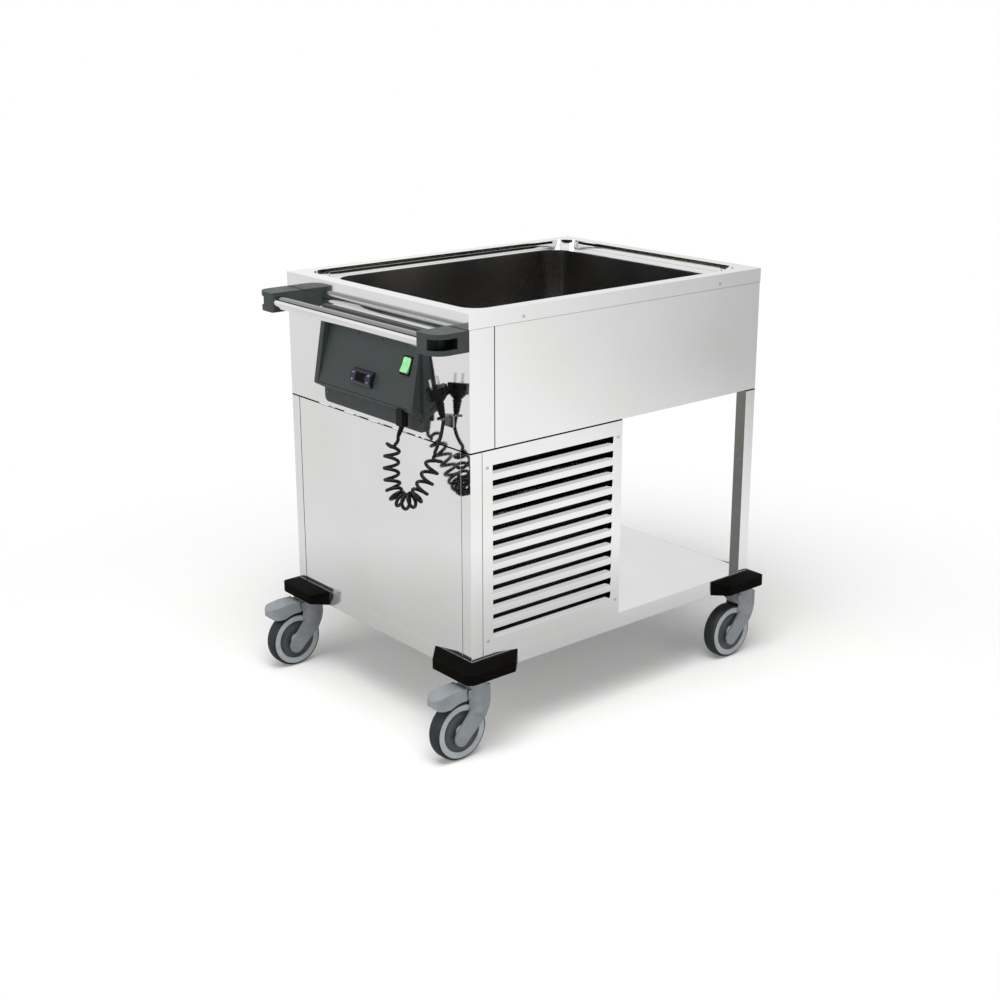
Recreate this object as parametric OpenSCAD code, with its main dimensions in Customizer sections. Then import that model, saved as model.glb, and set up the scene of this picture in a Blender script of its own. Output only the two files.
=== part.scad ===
// Mobile salad bar: a cooled well in a stainless steel serving cart on four swivel casters.
// Millimetres, +Z up. The long side runs along X and the push handle is at the -X end.
// The louvred bay with the cooling machine is on the -Y side of the handle end.

/* [Body] */
// Length of the steel body
body_l = 811; // [780:1:860]
// Width of the steel body
body_w = 626; // [600:1:660]
// Height of the rim above the floor
body_h = 900; // [880:1:940]
// Thickness of the steel sheets
sheet = 1.5; // [1.2:0.1:2]
// Height of the upper body
upper_h = 269; // [260:1:290]
// Width of the inward fold along the lower edge of the upper body
fold_w = 18; // [12:1:24]

/* [Rim and well] */
// Height of the rim's skirt
rim_skirt = 30; // [24:1:40]
// Corner radius of the rim in plan
rim_r = 3; // [1:0.5:8]
// Width of the flat rim at the two ends
rim_end = 30.5; // [26:0.5:40]
// Width of the flat rim along the two sides
rim_side = 28.5; // [24:0.5:32]
// Corner radius of the recess
recess_r = 42; // [30:1:50]
// Depth of the ledge below the rim
recess_depth = 17; // [14:1:20]
// Width of the sunk ledge at the two ends of the well
ledge_end = 50; // [40:1:60]
// Width of the sunk ledge along the two sides of the well
ledge_side = 19.5; // [18:0.5:30]
// Corner radius of the well
well_r = 50; // [30:1:60]
// Depth of the well floor below the rim
well_depth = 212; // [180:1:216]
// Width of the flange that joins the tub to the ledge
tub_flange = 12; // [8:1:14]
// Height of the air slots in the recess walls
slot_h = 7.5; // [6:0.5:8]
// Distance from the rim's top down to the air slots
slot_drop = 2; // [1.8:0.1:4]
// Height of the steel strip that stands before each air slot
strip_h = 10; // [8:0.5:12]
// Thickness of the steel strips
strip_t = 3; // [2:0.5:5]
// Length of the slot that each strip leaves open at one end
strip_open = 14; // [8:1:24]
// Distance from a slot's end to the end of the recess
slot_inset = 44; // [42:1:60]

/* [Base and posts] */
// Height above the floor of the underside of the base
base_bottom = 166.5; // [160:0.5:175]
// Height of the base rail
rail_h = 34.5; // [28:0.5:45]
// Width of the inward fold along the lower edge of the rail
rail_fold = 25; // [15:1:40]
// Side of the square plates that carry the casters
corner_plate = 90; // [70:1:120]
// Side of the square corner posts
post = 28.5; // [25:0.5:32]
// Wall of the square corner posts
post_wall = 1.5; // [1.2:0.1:2]
// Gap between neighbouring sheets
panel_gap = 1.2; // [0.3:0.1:1.5]
// Gap between the upper body and the panels below it
seam_gap = 2.4; // [0.6:0.1:3]
// Distance from the middle of the body to the face of the bay's partition
bay_end = 3; // [0:1:20]
// Length of the side seam's distance from the handle end
cap_wrap = 60; // [45:1:80]
// Depth of the side folds of the lower end panel
panel_fold = 15; // [8:1:20]

/* [Louvres] */
// Number of louvres
louvre_count = 12; // [6:1:12]
// Height of a louvre's cut in the sheet
louvre_h = 19; // [15:0.5:22]
// Height of the louvre's sloped blade
blade_h = 9; // [6:0.5:11]
// Depth that the blade reaches behind the sheet
blade_depth = 11; // [8:0.5:14]
// Thickness of the blade
blade_t = 1.2; // [1:0.1:1.5]
// Height of the lowest louvre's cut above the deck
louvre_rise = 37; // [30:1:45]
// Distance from the panel's upper edge to the highest louvre's cut
louvre_drop = 30.6; // [26:0.2:44]
// Distance from the panel's edge to the louvres
louvre_side = 25.4; // [22:0.2:32]

/* [Screws] */
// Radius of the screw heads
screw_r = 3.4; // [2.5:0.1:4]
// Height of the screw heads
screw_h = 1; // [0.6:0.1:1.6]
// Distance of the panel screws from the panel's side edge
screw_side = 12; // [9:0.5:16]
// Distance of the panel screws from the panel's upper and lower edges
screw_end = 34; // [28:1:40]
// Distance of the skirt screws from the body's end
skirt_screw_in = 131.5; // [90:0.5:200]
// Height of the skirt screws above the skirt's lower edge
skirt_screw_rise = 10; // [6:0.5:18]

/* [Bumpers] */
// Distance that the bumpers stand out from the body
bumper_out = 31.5; // [24:0.5:40]
// Length of a bumper's leg along the body
bumper_leg = 119; // [90:1:140]
// Corner radius of a bumper in plan
bumper_r = 18; // [10:1:24]
// Height of a bumper where it meets the body
bumper_h = 31; // [26:0.5:34]
// Height of a bumper's upright outer side
bumper_side_h = 21; // [14:0.5:25]

/* [Push handle] */
// Diameter of the handle tube
handle_d = 27; // [24:0.5:32]
// Wall of the handle tube
handle_wall = 3; // [2.5:0.1:4]
// Distance from the end panel to the tube's centre line
handle_out = 61.5; // [56:0.5:75]
// Distance from the rim's top down to the tube's centre line
handle_drop = 51.5; // [46:0.5:60]
// Width of the groove along the tube
groove_w = 2.2; // [1:0.1:3]
// Depth of the groove along the tube
groove_d = 1.6; // [1:0.1:2]
// Angle of the groove above the level
groove_angle = 36; // [20:1:60]
// Distance from a bracket to the end of the groove
groove_end = 4; // [2:0.5:10]
// Width of a handle bracket along the end panel
bracket_w = 62; // [55:1:80]
// Distance that a bracket stands out from the end panel
bracket_out = 78.5; // [76:0.5:95]
// Height of a bracket
bracket_h = 41; // [36:0.5:44]
// Radius of a bracket's outer corner in plan
bracket_r = 30; // [15:1:40]
// Depth of the socket that takes the tube's end
socket_depth = 20; // [12:1:30]
// Clearance between the tube and its socket
socket_gap = 0.1; // [0.05:0.05:0.3]
// Height of the pocket in a bracket's side
pocket_h = 21; // [14:0.5:24]
// Depth of the pocket in a bracket's side
pocket_depth = 26; // [12:1:27]
// Distance from the end panel to the pocket
pocket_start = 27.5; // [20:0.5:35]

/* [Control housing] */
// Width of the housing's back plate
plate_w = 349; // [330:1:360]
// Thickness of the back plate
plate_t = 7; // [5:0.5:9]
// Distance from the underside of the upper body to the back plate's lower edge
plate_rise = 12; // [7:1:19]
// Distance from the rim's top down to the back plate's upper edge
plate_drop = 50; // [44:1:56]
// Corner radius of the back plate's lower corners
plate_r = 12; // [6:1:18]
// Distance from the middle of the body to the middle of the housing
housing_y = -3.5; // [-8:0.5:8]
// Width across the housing's cheeks
cheek_span = 343; // [325:1:345]
// Thickness of each cheek
cheek_t = 14; // [8:1:18]
// Distance from the end panel to the housing's lower front edge
housing_out = 35; // [30:0.5:42]
// Distance from the back plate's lower edge up to the housing's lower front edge
lip_rise = 47; // [41:1:53]
// Distance from the back plate's lower edge up to where the housing's underside meets the plate
heel_rise = 28.5; // [25:0.5:33]
// Distance from the end panel to the face panel's upper edge, measured inwards
face_sink = 7; // [3:0.5:9]
// Distance from the back plate's upper edge down to the face panel's upper edge
face_drop = 28; // [22:1:35]
// Thickness of the face panel
face_t = 3; // [2:0.5:4]
// Depth of the hollow in the outer side of each cheek
cheek_hollow = 2.5; // [1:0.5:4]
// Number of vent slits along the top of the face panel
slit_count = 3; // [1:1:5]
// Distance from one vent slit to the next
slit_pitch = 82; // [40:1:90]

/* [Display and switch] */
// Width of the thermostat
thermo_w = 69; // [60:1:78]
// Height of the thermostat
thermo_h = 33; // [30:0.5:36]
// Distance that the thermostat's curved front stands out
thermo_out = 11; // [9:0.5:13]
// Distance that the thermostat's edges stand out
thermo_edge = 3; // [2:0.5:5]
// Distance up the face from its lower edge to the thermostat's middle
thermo_rise = 35; // [30:0.5:42]
// Depth of the thermostat's case behind the face
thermo_deep = 30; // [20:1:36]
// Width of the display window
window_w = 33; // [28:1:38]
// Height of the display window
window_h = 19; // [14:0.5:21]
// Width of a thermostat key
key_w = 8; // [6:0.5:10]
// Height of a thermostat key
key_h = 6.5; // [5:0.5:8]
// Distance from the thermostat's middle to a key's middle, along its width
key_x = 26; // [24:0.5:28]
// Distance from the thermostat's middle to a key's middle, up the face
key_y = 7.2; // [5.5:0.1:9]
// Travel of a thermostat key
key_travel = 0.8; // [0.5:0.1:1]
// Clearance round the moving keys and the rocker
key_gap = 0.3; // [0.25:0.05:0.5]
// Width of the rocker
rocker_w = 24; // [20:0.5:26]
// Length of the rocker
rocker_l = 31; // [26:0.5:34]
// Corner radius of the rocker
rocker_r = 4; // [1:0.5:6]
// Angle that the rocker leans to each side
rocker_tilt = 7; // [4:0.5:9]
// Clearance at the rocker's ends
rocker_end_gap = 1.4; // [1.2:0.1:2]
// Width of the frame round the rocker
rocker_rim = 2; // [1.5:0.5:3]
// Radius of the pin that the rocker turns on
rocker_pin_r = 1.5; // [1:0.1:2]
// Depth of the rocker's pin behind the face
rocker_pin_in = 3; // [2.5:0.5:4]
// Distance from the middle of the housing to the rocker
rocker_y = -124; // [-130:1:-100]
// Distance up the face from its lower edge to the rocker's middle
rocker_rise = 83; // [75:0.5:95]

/* [Mains lead] */
// Diameter of the lead
cord_d = 7; // [6:0.5:8]
// Diameter of the curls, measured to the middle of the lead
curl_d = 28; // [22:0.5:29]
// Width of the block that the lead comes out of
gland_w = 19; // [16:1:24]
// Distance from the side of the housing to the middle of the block
gland_in = 35.5; // [30:0.5:60]
// Distance that the block stands out past the housing's lower front edge
gland_out = 5; // [3:0.5:8]
// Depth of the block
gland_d = 15.5; // [14:0.5:20]
// Height of the block's front
gland_h = 34; // [28:0.5:38]
// Length of the tapered sleeve below the block
sleeve_l = 21; // [20:1:30]
// Radius of the sleeve where it leaves the block
sleeve_r = 5.4; // [5:0.1:7]
// Width of the plug holder's plate
holder_w = 26; // [20:1:32]
// Height of the plug holder's plate
holder_h = 22; // [18:1:30]
// Thickness of the plug holder's fork
fork_plate_t = 5; // [3:0.5:8]
// Gap on each side of the lead in the plug holder's fork
holder_gap = 0.8; // [0.6:0.1:1.5]
// Radius of the plug's body
plug_r = 18.5; // [16:0.5:20]
// Length of the plug's ribbed neck
plug_neck_l = 30; // [24:1:36]
// Length of the plug's body
plug_body_l = 30; // [26:1:36]
// Radius of a plug pin
pin_r = 2.4; // [2:0.1:3]
// Length of a plug pin
pin_l = 19; // [16:0.5:22]
// Distance between the plug pins
pin_pitch = 19; // [16:0.5:22]

/* [Casters] */
// Distance from the body's end to a caster's swivel axis
caster_end = 9.5; // [9:0.5:30]
// Distance from the body's side to a caster's swivel axis
caster_side = 10; // [9:0.5:30]
// Diameter of a wheel
wheel_d = 125; // [120:1:130]
// Width of a wheel
wheel_w = 32; // [28:1:32]
// Distance that the wheel trails behind the swivel axis
trail = 40; // [36:1:44]
// Radius of the caster's neck
neck_r = 29; // [26:0.5:31]
// Height above the floor of the top of the caster's neck
neck_top = 155.5; // [150:0.5:158]
// Radius of the fixed disc above the neck
disc_r = 30.5; // [29:0.5:34]
// Gap between the neck and the fixed disc
swivel_gap = 0.5; // [0.3:0.1:1]
// Radius of the stem that stands in the corner post
stem_r = 7.5; // [6:0.5:8]
// Height of the stem above the underside of the base
stem_h = 80; // [50:1:120]
// Length of the stem inside the fork's neck
kingpin_l = 24; // [15:1:26]
// Radius of the wheel's axle
axle_r = 4; // [3:0.5:5]
// Running clearance round the axles and pins
run_gap = 0.05; // [0.03:0.01:0.08]
// Thickness of the fork left over the ends of the axle
axle_cap = 1.5; // [1:0.5:2]
// Gap between the wheel's side and the fork
fork_gap = 1.5; // [1:0.1:3]
// Thickness of a fork leg
fork_t = 5; // [4:0.5:7]
// Gap between the tread and the fork
tread_gap = 4; // [3:0.5:6]
// Thickness of the rubber tread
tread_t = 6; // [4:0.5:9]
// Radius of the dark cover disc on each side of the wheel
cover_r = 44; // [36:0.5:48]
// Length of the brake pedal, from the swivel axis to its tip
pedal_reach = 108; // [100:1:112]
// Half of the brake pedal's width
pedal_half_w = 22; // [20:0.5:24]

/* [Cooling machine] */
// Radius of the compressor's shell
comp_r = 72; // [60:1:80]
// Distance that the compressor's base plate reaches past the shell at each end
comp_plate_out = 13; // [8:1:20]
// Width of the compressor's base plate
comp_plate_w = 120; // [100:1:140]
// Radius of the compressor's rubber feet
comp_foot_r = 12; // [8:1:14]
// Height of the compressor's straight side
comp_h = 90; // [70:1:110]
// Distance from the bay's partition to the compressor's axis
comp_x = 150; // [120:1:170]
// Distance from the middle of the body to the compressor's axis
comp_y = 150; // [120:1:180]
// Width of the condenser's core
cond_w = 270; // [240:1:290]
// Height of the condenser's core
cond_h = 240; // [200:1:260]
// Depth of the condenser's core
cond_d = 38; // [30:1:50]
// Distance from the grille to the condenser's core
cond_in = 26; // [20:1:40]
// Radius of the fan
fan_r = 95; // [80:1:105]
// Radius of the refrigerant pipes
pipe_r = 4; // [3:0.5:5]
// Height of one flat turn of the cooling pipe round the tub
turn_h = 12; // [8:1:14]
// Depth of one flat turn of the cooling pipe
turn_d = 5; // [4:0.5:6]
// Clearance between the tub and the pipe round it
turn_gap = 0.2; // [0.1:0.05:0.3]
// Number of turns of the cooling pipe round the tub
turn_count = 4; // [2:1:4]
// Distance from one turn of the cooling pipe to the next
turn_pitch = 38; // [30:1:40]

/* [Drain] */
// Radius of the drain pipe
drain_r = 14; // [11:0.5:16]
// Wall of the drain pipe
drain_wall = 2; // [1.5:0.5:3]
// Distance from the middle of the body to the drain
drain_x = 70; // [50:1:120]
// Length of the drain pipe below the upper body
drain_drop = 30; // [24:1:60]
// Length of the drain valve's lever
lever_l = 75; // [60:1:90]

/* [Hidden] */

$fn = 48;
steel = "#d5d6d3";
dark_steel = "#5b5b58";
slate = "#474b4b";
black = "#1b1c1c";
caster_grey = "#8f9598";
tread_grey = "#3d4242";
copper = "#b06a3f";
over = 1;

rim_l = body_l + 2 * sheet;
rim_w = body_w + 2 * sheet;
skirt_z = body_h - rim_skirt;
upper_bottom = body_h - upper_h;
ledge_z = body_h - recess_depth;
recess_l = body_l - 2 * rim_end;
recess_w = body_w - 2 * rim_side;
well_l = recess_l - 2 * ledge_end;
well_w = recess_w - 2 * ledge_side;
well_z = body_h - well_depth;
deck_z = base_bottom + rail_h;
floor_z = upper_bottom + sheet;
half_l = body_l / 2;
half_w = body_w / 2;
fascia_h = body_h - sheet - upper_bottom;
panel_h = upper_bottom - deck_z - seam_gap;
plate_bottom = upper_bottom + plate_rise;
plate_top = body_h - plate_drop;
lip_z = plate_bottom + lip_rise;
heel_z = plate_bottom + heel_rise;
face_top = plate_top - face_drop;
handle_z = body_h - handle_drop;
caster_x = half_l - caster_end;
caster_y = half_w - caster_side;

// The origin lies on the floor below the middle of the whole cart, pedals and bumpers included.
pedal_tip_x = -caster_x - pedal_reach;
bumper_tip_x = half_l + bumper_out;
body_x = -(pedal_tip_x + bumper_tip_x) / 2;

module at_body() {
    translate([body_x, 0, 0])
        children();
}

// A rectangle with true round corners, centred on the origin.
module round_rect(l, w, r) {
    square([l - 2 * r, w], center = true);
    square([l, w - 2 * r], center = true);
    for (sx = [-1, 1], sy = [-1, 1])
        translate([sx * (l / 2 - r), sy * (w / 2 - r)])
            circle(r);
}

module round_block(l, w, r, h) {
    linear_extrude(h)
        round_rect(l, w, r);
}

// A block from one corner to the opposite corner.
module block(a, b) {
    translate(a)
        cube(b - a);
}

// An outline drawn in X and Z, extruded along Y between y0 and y1.
module side_profile(y0, y1) {
    translate([0, y1, 0])
        rotate([90, 0, 0])
            linear_extrude(y1 - y0)
                children();
}

// ---- Rim, well and cooling ----

slot_z = body_h - slot_drop - slot_h;
slot_l = recess_l - 2 * slot_inset;
slot_w = recess_w - 2 * slot_inset;

module slot_cuts() {
    translate([0, 0, slot_z + slot_h / 2]) {
        cube([slot_l, recess_w + 2 * sheet + 2 * over, slot_h], center = true);
        cube([recess_l + 2 * sheet + 2 * over, slot_w, slot_h], center = true);
    }
}

module top_rim() {
    color(steel) at_body() difference() {
        translate([0, 0, skirt_z])
            round_block(rim_l, rim_w, rim_r, rim_skirt);
        difference() {
            translate([0, 0, skirt_z - over])
                linear_extrude(rim_skirt + over - sheet)
                    square([body_l, body_w], center = true);
            translate([0, 0, ledge_z - sheet])
                round_block(recess_l + 2 * sheet, recess_w + 2 * sheet, recess_r + sheet, recess_depth);
        }
        translate([0, 0, ledge_z])
            round_block(recess_l, recess_w, recess_r, recess_depth + over);
        translate([0, 0, ledge_z - sheet - over])
            round_block(well_l, well_w, well_r, sheet + 2 * over);
        slot_cuts();
    }
}

module well_tub() {
    color(dark_steel) at_body() difference() {
        union() {
            translate([0, 0, ledge_z - 2 * sheet])
                round_block(well_l + 2 * tub_flange, well_w + 2 * tub_flange, well_r + tub_flange, sheet);
            translate([0, 0, well_z - sheet])
                round_block(well_l + 2 * sheet, well_w + 2 * sheet, well_r + sheet,
                    ledge_z - sheet - (well_z - sheet));
        }
        translate([0, 0, well_z])
            round_block(well_l, well_w, well_r, well_depth);
        translate([drain_x, 0, well_z - sheet - over])
            cylinder(r = drain_r - drain_wall, h = sheet + 2 * over);
    }
}

// One strip stands on the ledge before the slot of each recess wall and leaves one end open.
module air_strips() {
    y = recess_w / 2 - strip_t / 2;
    x = recess_l / 2 - strip_t / 2;
    color(steel) at_body() {
        for (sy = [-1, 1])
            translate([strip_open / 2, sy * y, ledge_z + strip_h / 2])
                cube([slot_l - strip_open, strip_t, strip_h], center = true);
        for (sx = [-1, 1])
            translate([sx * x, strip_open / 2, ledge_z + strip_h / 2])
                cube([strip_t, slot_w - strip_open, strip_h], center = true);
    }
}

foam_bottom = floor_z + sheet;
foam_top = ledge_z - 2 * sheet;
pocket_back_x = -half_l + sheet + thermo_deep + face_sink + 12;
riser_x = -90;
riser_y = well_w / 2 + sheet + turn_gap + pipe_r;

module insulation() {
    color("#e8dcae") at_body() difference() {
        block([-half_l + sheet, -half_w + sheet, foam_bottom], [half_l - sheet, half_w - sheet, foam_top]);
        translate([0, 0, well_z - sheet])
            round_block(well_l + 2 * (sheet + turn_d), well_w + 2 * (sheet + turn_d),
                well_r + sheet + turn_d, foam_top);
        block([-half_l, housing_y - cheek_span / 2, lip_z - 20],
            [pocket_back_x, housing_y + cheek_span / 2, plate_top]);
        translate([drain_x, 0, foam_bottom - over])
            cylinder(r = drain_r + run_gap, h = well_z);
        translate([riser_x, riser_y, foam_bottom - over])
            cylinder(r = pipe_r + run_gap, h = well_z);
    }
}

comp_axis_x = -bay_end - comp_x;
cond_y = -half_w + sheet + cond_in;
comp_foot = 14;
comp_base_z = deck_z + comp_foot;
comp_plate_l = 2 * (comp_r + comp_plate_out);
comp_top_z = comp_base_z + 12 + comp_h;
suction_z = comp_base_z + comp_h;
cond_base_z = deck_z + 20;
cond_pipe_z = cond_base_z + cond_h - 30;
cond_axis_x = -bay_end - (half_l - post - bay_end) / 2;
cond_port_x = cond_axis_x + cond_w / 2 - 12;

module pipe(a, b) {
    d = b - a;
    translate(a)
        rotate([0, acos(d[2] / norm(d)), atan2(d[1], d[0])])
            cylinder(r = pipe_r, h = norm(d));
}

module refrigerant_tubing() {
    low_z = well_z + 14;
    suction_y = comp_y + comp_r - 3;
    color(copper) at_body() {
        for (i = [0 : turn_count - 1])
            translate([0, 0, low_z + i * turn_pitch])
                difference() {
                    round_block(well_l + 2 * (sheet + turn_d), well_w + 2 * (sheet + turn_d),
                        well_r + sheet + turn_d, turn_h);
                    translate([0, 0, -over])
                        round_block(well_l + 2 * (sheet + turn_gap), well_w + 2 * (sheet + turn_gap),
                            well_r + sheet + turn_gap, turn_h + 2 * over);
                }
        pipe([riser_x, riser_y, low_z], [riser_x, riser_y, suction_z]);
        translate([riser_x, riser_y, suction_z])
            sphere(pipe_r);
        pipe([riser_x, riser_y, suction_z], [comp_axis_x + 20, riser_y, suction_z]);
        translate([comp_axis_x + 20, riser_y, suction_z])
            sphere(pipe_r);
        pipe([comp_axis_x + 20, riser_y, suction_z], [comp_axis_x + 20, suction_y, suction_z]);
        pipe([cond_port_x, bar_y, cond_pipe_z], [cond_port_x, comp_y, cond_pipe_z]);
        translate([cond_port_x, comp_y, cond_pipe_z])
            sphere(pipe_r);
        pipe([cond_port_x, comp_y, cond_pipe_z], [cond_port_x, comp_y, suction_z - 20]);
        translate([cond_port_x, comp_y, suction_z - 20])
            sphere(pipe_r);
        pipe([cond_port_x, comp_y, suction_z - 20], [comp_axis_x + comp_r - 3, comp_y, suction_z - 20]);
    }
}

// ---- Upper body ----

module front_fascia_shape() {
    x0 = -half_l + cap_wrap + panel_gap;
    block([x0, -half_w, upper_bottom], [half_l, -half_w + sheet, upper_bottom + fascia_h]);
    block([x0, -half_w, upper_bottom], [half_l, -half_w + fold_w, floor_z]);
}

module front_fascia() {
    color(steel) at_body()
        front_fascia_shape();
}

module rear_fascia() {
    color(steel) at_body()
        mirror([0, 1, 0])
            front_fascia_shape();
}

housing_cut_w = cheek_span - 2 * cheek_t + 2 * face_t + 1;
face_cut_z = lip_z - 8;

module handle_end_fascia() {
    color(steel) at_body() difference() {
        block([-half_l, -half_w, upper_bottom], [-half_l + cap_wrap, half_w, upper_bottom + fascia_h]);
        block([-half_l + sheet, -half_w + sheet, floor_z],
            [-half_l + cap_wrap + over, half_w - sheet, upper_bottom + fascia_h + over]);
        block([-half_l + fold_w, -half_w + fold_w, upper_bottom - over],
            [-half_l + cap_wrap + over, half_w - fold_w, floor_z + over]);
        block([-half_l - over, housing_y - housing_cut_w / 2, face_cut_z],
            [-half_l + sheet + over, housing_y + housing_cut_w / 2, face_top + 18]);
    }
}

module far_end_fascia() {
    color(steel) at_body() {
        block([half_l - sheet, -half_w + sheet, upper_bottom + sheet],
            [half_l, half_w - sheet, upper_bottom + fascia_h]);
        block([half_l - fold_w, -half_w + fold_w, upper_bottom], [half_l, half_w - fold_w, floor_z]);
    }
}

module upper_floor() {
    color(steel) at_body() difference() {
        block([-half_l + sheet, -half_w + sheet, floor_z], [half_l - sheet, half_w - sheet, floor_z + sheet]);
        translate([drain_x, 0, floor_z - over])
            cylinder(r = drain_r + run_gap, h = sheet + 2 * over);
        translate([riser_x, riser_y, floor_z - over])
            cylinder(r = pipe_r + run_gap, h = sheet + 2 * over);
    }
}

// ---- Frame and base ----

module corner_posts() {
    post_h = upper_bottom - deck_z;
    color(steel) at_body()
        for (sx = [-1, 1], sy = [-1, 1])
            translate([sx * (half_l - post / 2), sy * (half_w - post / 2), deck_z])
                difference() {
                    linear_extrude(post_h)
                        square(post, center = true);
                    translate([0, 0, -over])
                        linear_extrude(post_h + 2 * over)
                            square(post - 2 * post_wall, center = true);
                }
}

module base_tray() {
    color(steel) at_body() difference() {
        block([-half_l, -half_w, base_bottom], [half_l, half_w, deck_z]);
        block([-half_l + sheet, -half_w + sheet, base_bottom + sheet],
            [half_l - sheet, half_w - sheet, deck_z - sheet]);
        block([-half_l + corner_plate, -half_w + rail_fold, base_bottom - over],
            [half_l - corner_plate, half_w - rail_fold, base_bottom + sheet + over]);
        block([-half_l + rail_fold, -half_w + corner_plate, base_bottom - over],
            [half_l - rail_fold, half_w - corner_plate, base_bottom + sheet + over]);
        for (sx = [-1, 1], sy = [-1, 1])
            translate([sx * caster_x, sy * caster_y, base_bottom - over])
                cylinder(r = stem_r + run_gap, h = rail_h + 2 * over);
    }
}

module lower_end_panel() {
    w = half_w - post - panel_gap;
    color(steel) at_body() difference() {
        block([-half_l, -w, deck_z], [-half_l + panel_fold, w, deck_z + panel_h]);
        block([-half_l + sheet, -w + sheet, deck_z - over],
            [-half_l + panel_fold + over, w - sheet, deck_z + panel_h + over]);
    }
}

louvre_x = -half_l + post + panel_gap + louvre_side;
louvre_l = half_l - post - panel_gap - bay_end - 2 * louvre_side;
louvre_pitch = (panel_h - louvre_rise - louvre_drop - louvre_h) / (louvre_count - 1);

module louvre_blade(z) {
    translate([louvre_x, -half_w, z])
        rotate([90, 0, 90])
            linear_extrude(louvre_l)
                polygon([[0, 0], [sheet, 0], [blade_depth, blade_h], [blade_depth, blade_h + blade_t],
                    [blade_depth - blade_t, blade_h + blade_t], [0, blade_t]]);
}

module grille_shape() {
    difference() {
        block([-half_l + post + panel_gap, -half_w, deck_z], [-bay_end, -half_w + sheet, deck_z + panel_h]);
        for (i = [0 : louvre_count - 1])
            translate([louvre_x, -half_w - over, deck_z + louvre_rise + i * louvre_pitch])
                cube([louvre_l, sheet + 2 * over, louvre_h]);
    }
    for (i = [0 : louvre_count - 1])
        louvre_blade(deck_z + louvre_rise + i * louvre_pitch - 0.01);
}

module front_grille() {
    color(steel) at_body()
        grille_shape();
}

module rear_grille() {
    color(steel) at_body()
        mirror([0, 1, 0])
            grille_shape();
}

module bay_partition() {
    color(steel) at_body()
        block([-bay_end - sheet, -half_w + sheet, deck_z], [-bay_end, half_w - sheet, upper_bottom]);
}

module screw_head() {
    rotate([90, 0, 0])
        cylinder(r = screw_r, h = screw_h);
}

housing_screw_z = plate_bottom + 21;
housing_screw_y = plate_w / 2 - 12;

module panel_screws() {
    color("#a9aaa8") at_body() {
        for (sy = [0, 1])
            mirror([0, sy, 0]) {
                for (x = [-half_l + post + panel_gap + screw_side, -bay_end - screw_side])
                    for (z = [deck_z + screw_end, deck_z + panel_h - screw_end])
                        translate([x, -half_w, z])
                            screw_head();
                for (s = [-1, 1])
                    translate([s * (half_l - skirt_screw_in), -half_w - sheet, skirt_z + skirt_screw_rise])
                        screw_head();
            }
        for (s = [-1, 1])
            translate([-half_l - plate_t, housing_y + s * housing_screw_y, housing_screw_z])
                rotate([0, 0, -90])
                    screw_head();
    }
}

// ---- Control housing on the handle end ----

// Outline points in X and Z: X is measured from the body's middle.
plate_x = -half_l - plate_t;
lip_x = -half_l - housing_out;
face_low = [lip_x + 1, lip_z + 2];
face_high = [-half_l + face_sink, face_top];
face_dir = (face_high - face_low) / norm(face_high - face_low);
face_tilt = atan2(face_dir[0], face_dir[1]);
face_l = norm(face_high - face_low);
cheek_in = cheek_span / 2 - cheek_t;

module control_housing() {
    color(slate) at_body() difference() {
        union() {
            translate([-half_l, housing_y, 0])
                rotate([90, 0, -90])
                    linear_extrude(plate_t) {
                        translate([-plate_w / 2, plate_bottom + plate_r])
                            square([plate_w, plate_top - plate_bottom - plate_r]);
                        translate([-plate_w / 2 + plate_r, plate_bottom])
                            square([plate_w - 2 * plate_r, 2 * plate_r]);
                        for (s = [-1, 1])
                            translate([s * (plate_w / 2 - plate_r), plate_bottom + plate_r])
                                circle(plate_r);
                    }
            side_profile(housing_y - cheek_span / 2, housing_y + cheek_span / 2)
                polygon([[plate_x + over, plate_top - 2], [plate_x, plate_top - 2], [lip_x, lip_z],
                    [lip_x + 1.5, lip_z - 3.5], [plate_x, heel_z], [plate_x + over, heel_z]]);
            side_profile(housing_y - cheek_in - face_t, housing_y + cheek_in + face_t)
                polygon([[-half_l - over, face_cut_z + 1], [face_high[0] + face_t, face_cut_z + 1],
                    [face_high[0] + face_t, face_top + 17], [-half_l - over, face_top + 17]]);
        }
        side_profile(housing_y - cheek_in, housing_y + cheek_in)
            polygon([face_low, [face_low[0] + 6, lip_z - 2], [plate_x, lip_z - 8],
                [face_high[0] + face_t + over, lip_z - 4], [face_high[0] + face_t + over, face_top],
                face_high, [plate_x + 2, face_top + 14], [lip_x - 20, face_top + 14],
                [lip_x - 20, face_low[1]]]);
        for (s = [-1, 1])
            translate([0, housing_y + s * cheek_span / 2, 0])
                side_profile(-cheek_hollow, cheek_hollow)
                    polygon([[plate_x - 2, plate_top - 20], [lip_x + 6, lip_z + 8], [plate_x - 2, heel_z + 11]]);
    }
}

// Places its children on the face panel: X points into the housing, Z points up the face.
module on_face(y, rise) {
    translate([face_low[0] + face_dir[0] * rise, y, face_low[1] + face_dir[1] * rise])
        rotate([0, face_tilt, 0])
            children();
}

thermo_case_w = thermo_w - 6;
thermo_case_h = thermo_h - 4;
rocker_open_w = rocker_w + 2 * key_gap;
rocker_open_l = rocker_l + 2 * rocker_end_gap;

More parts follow.
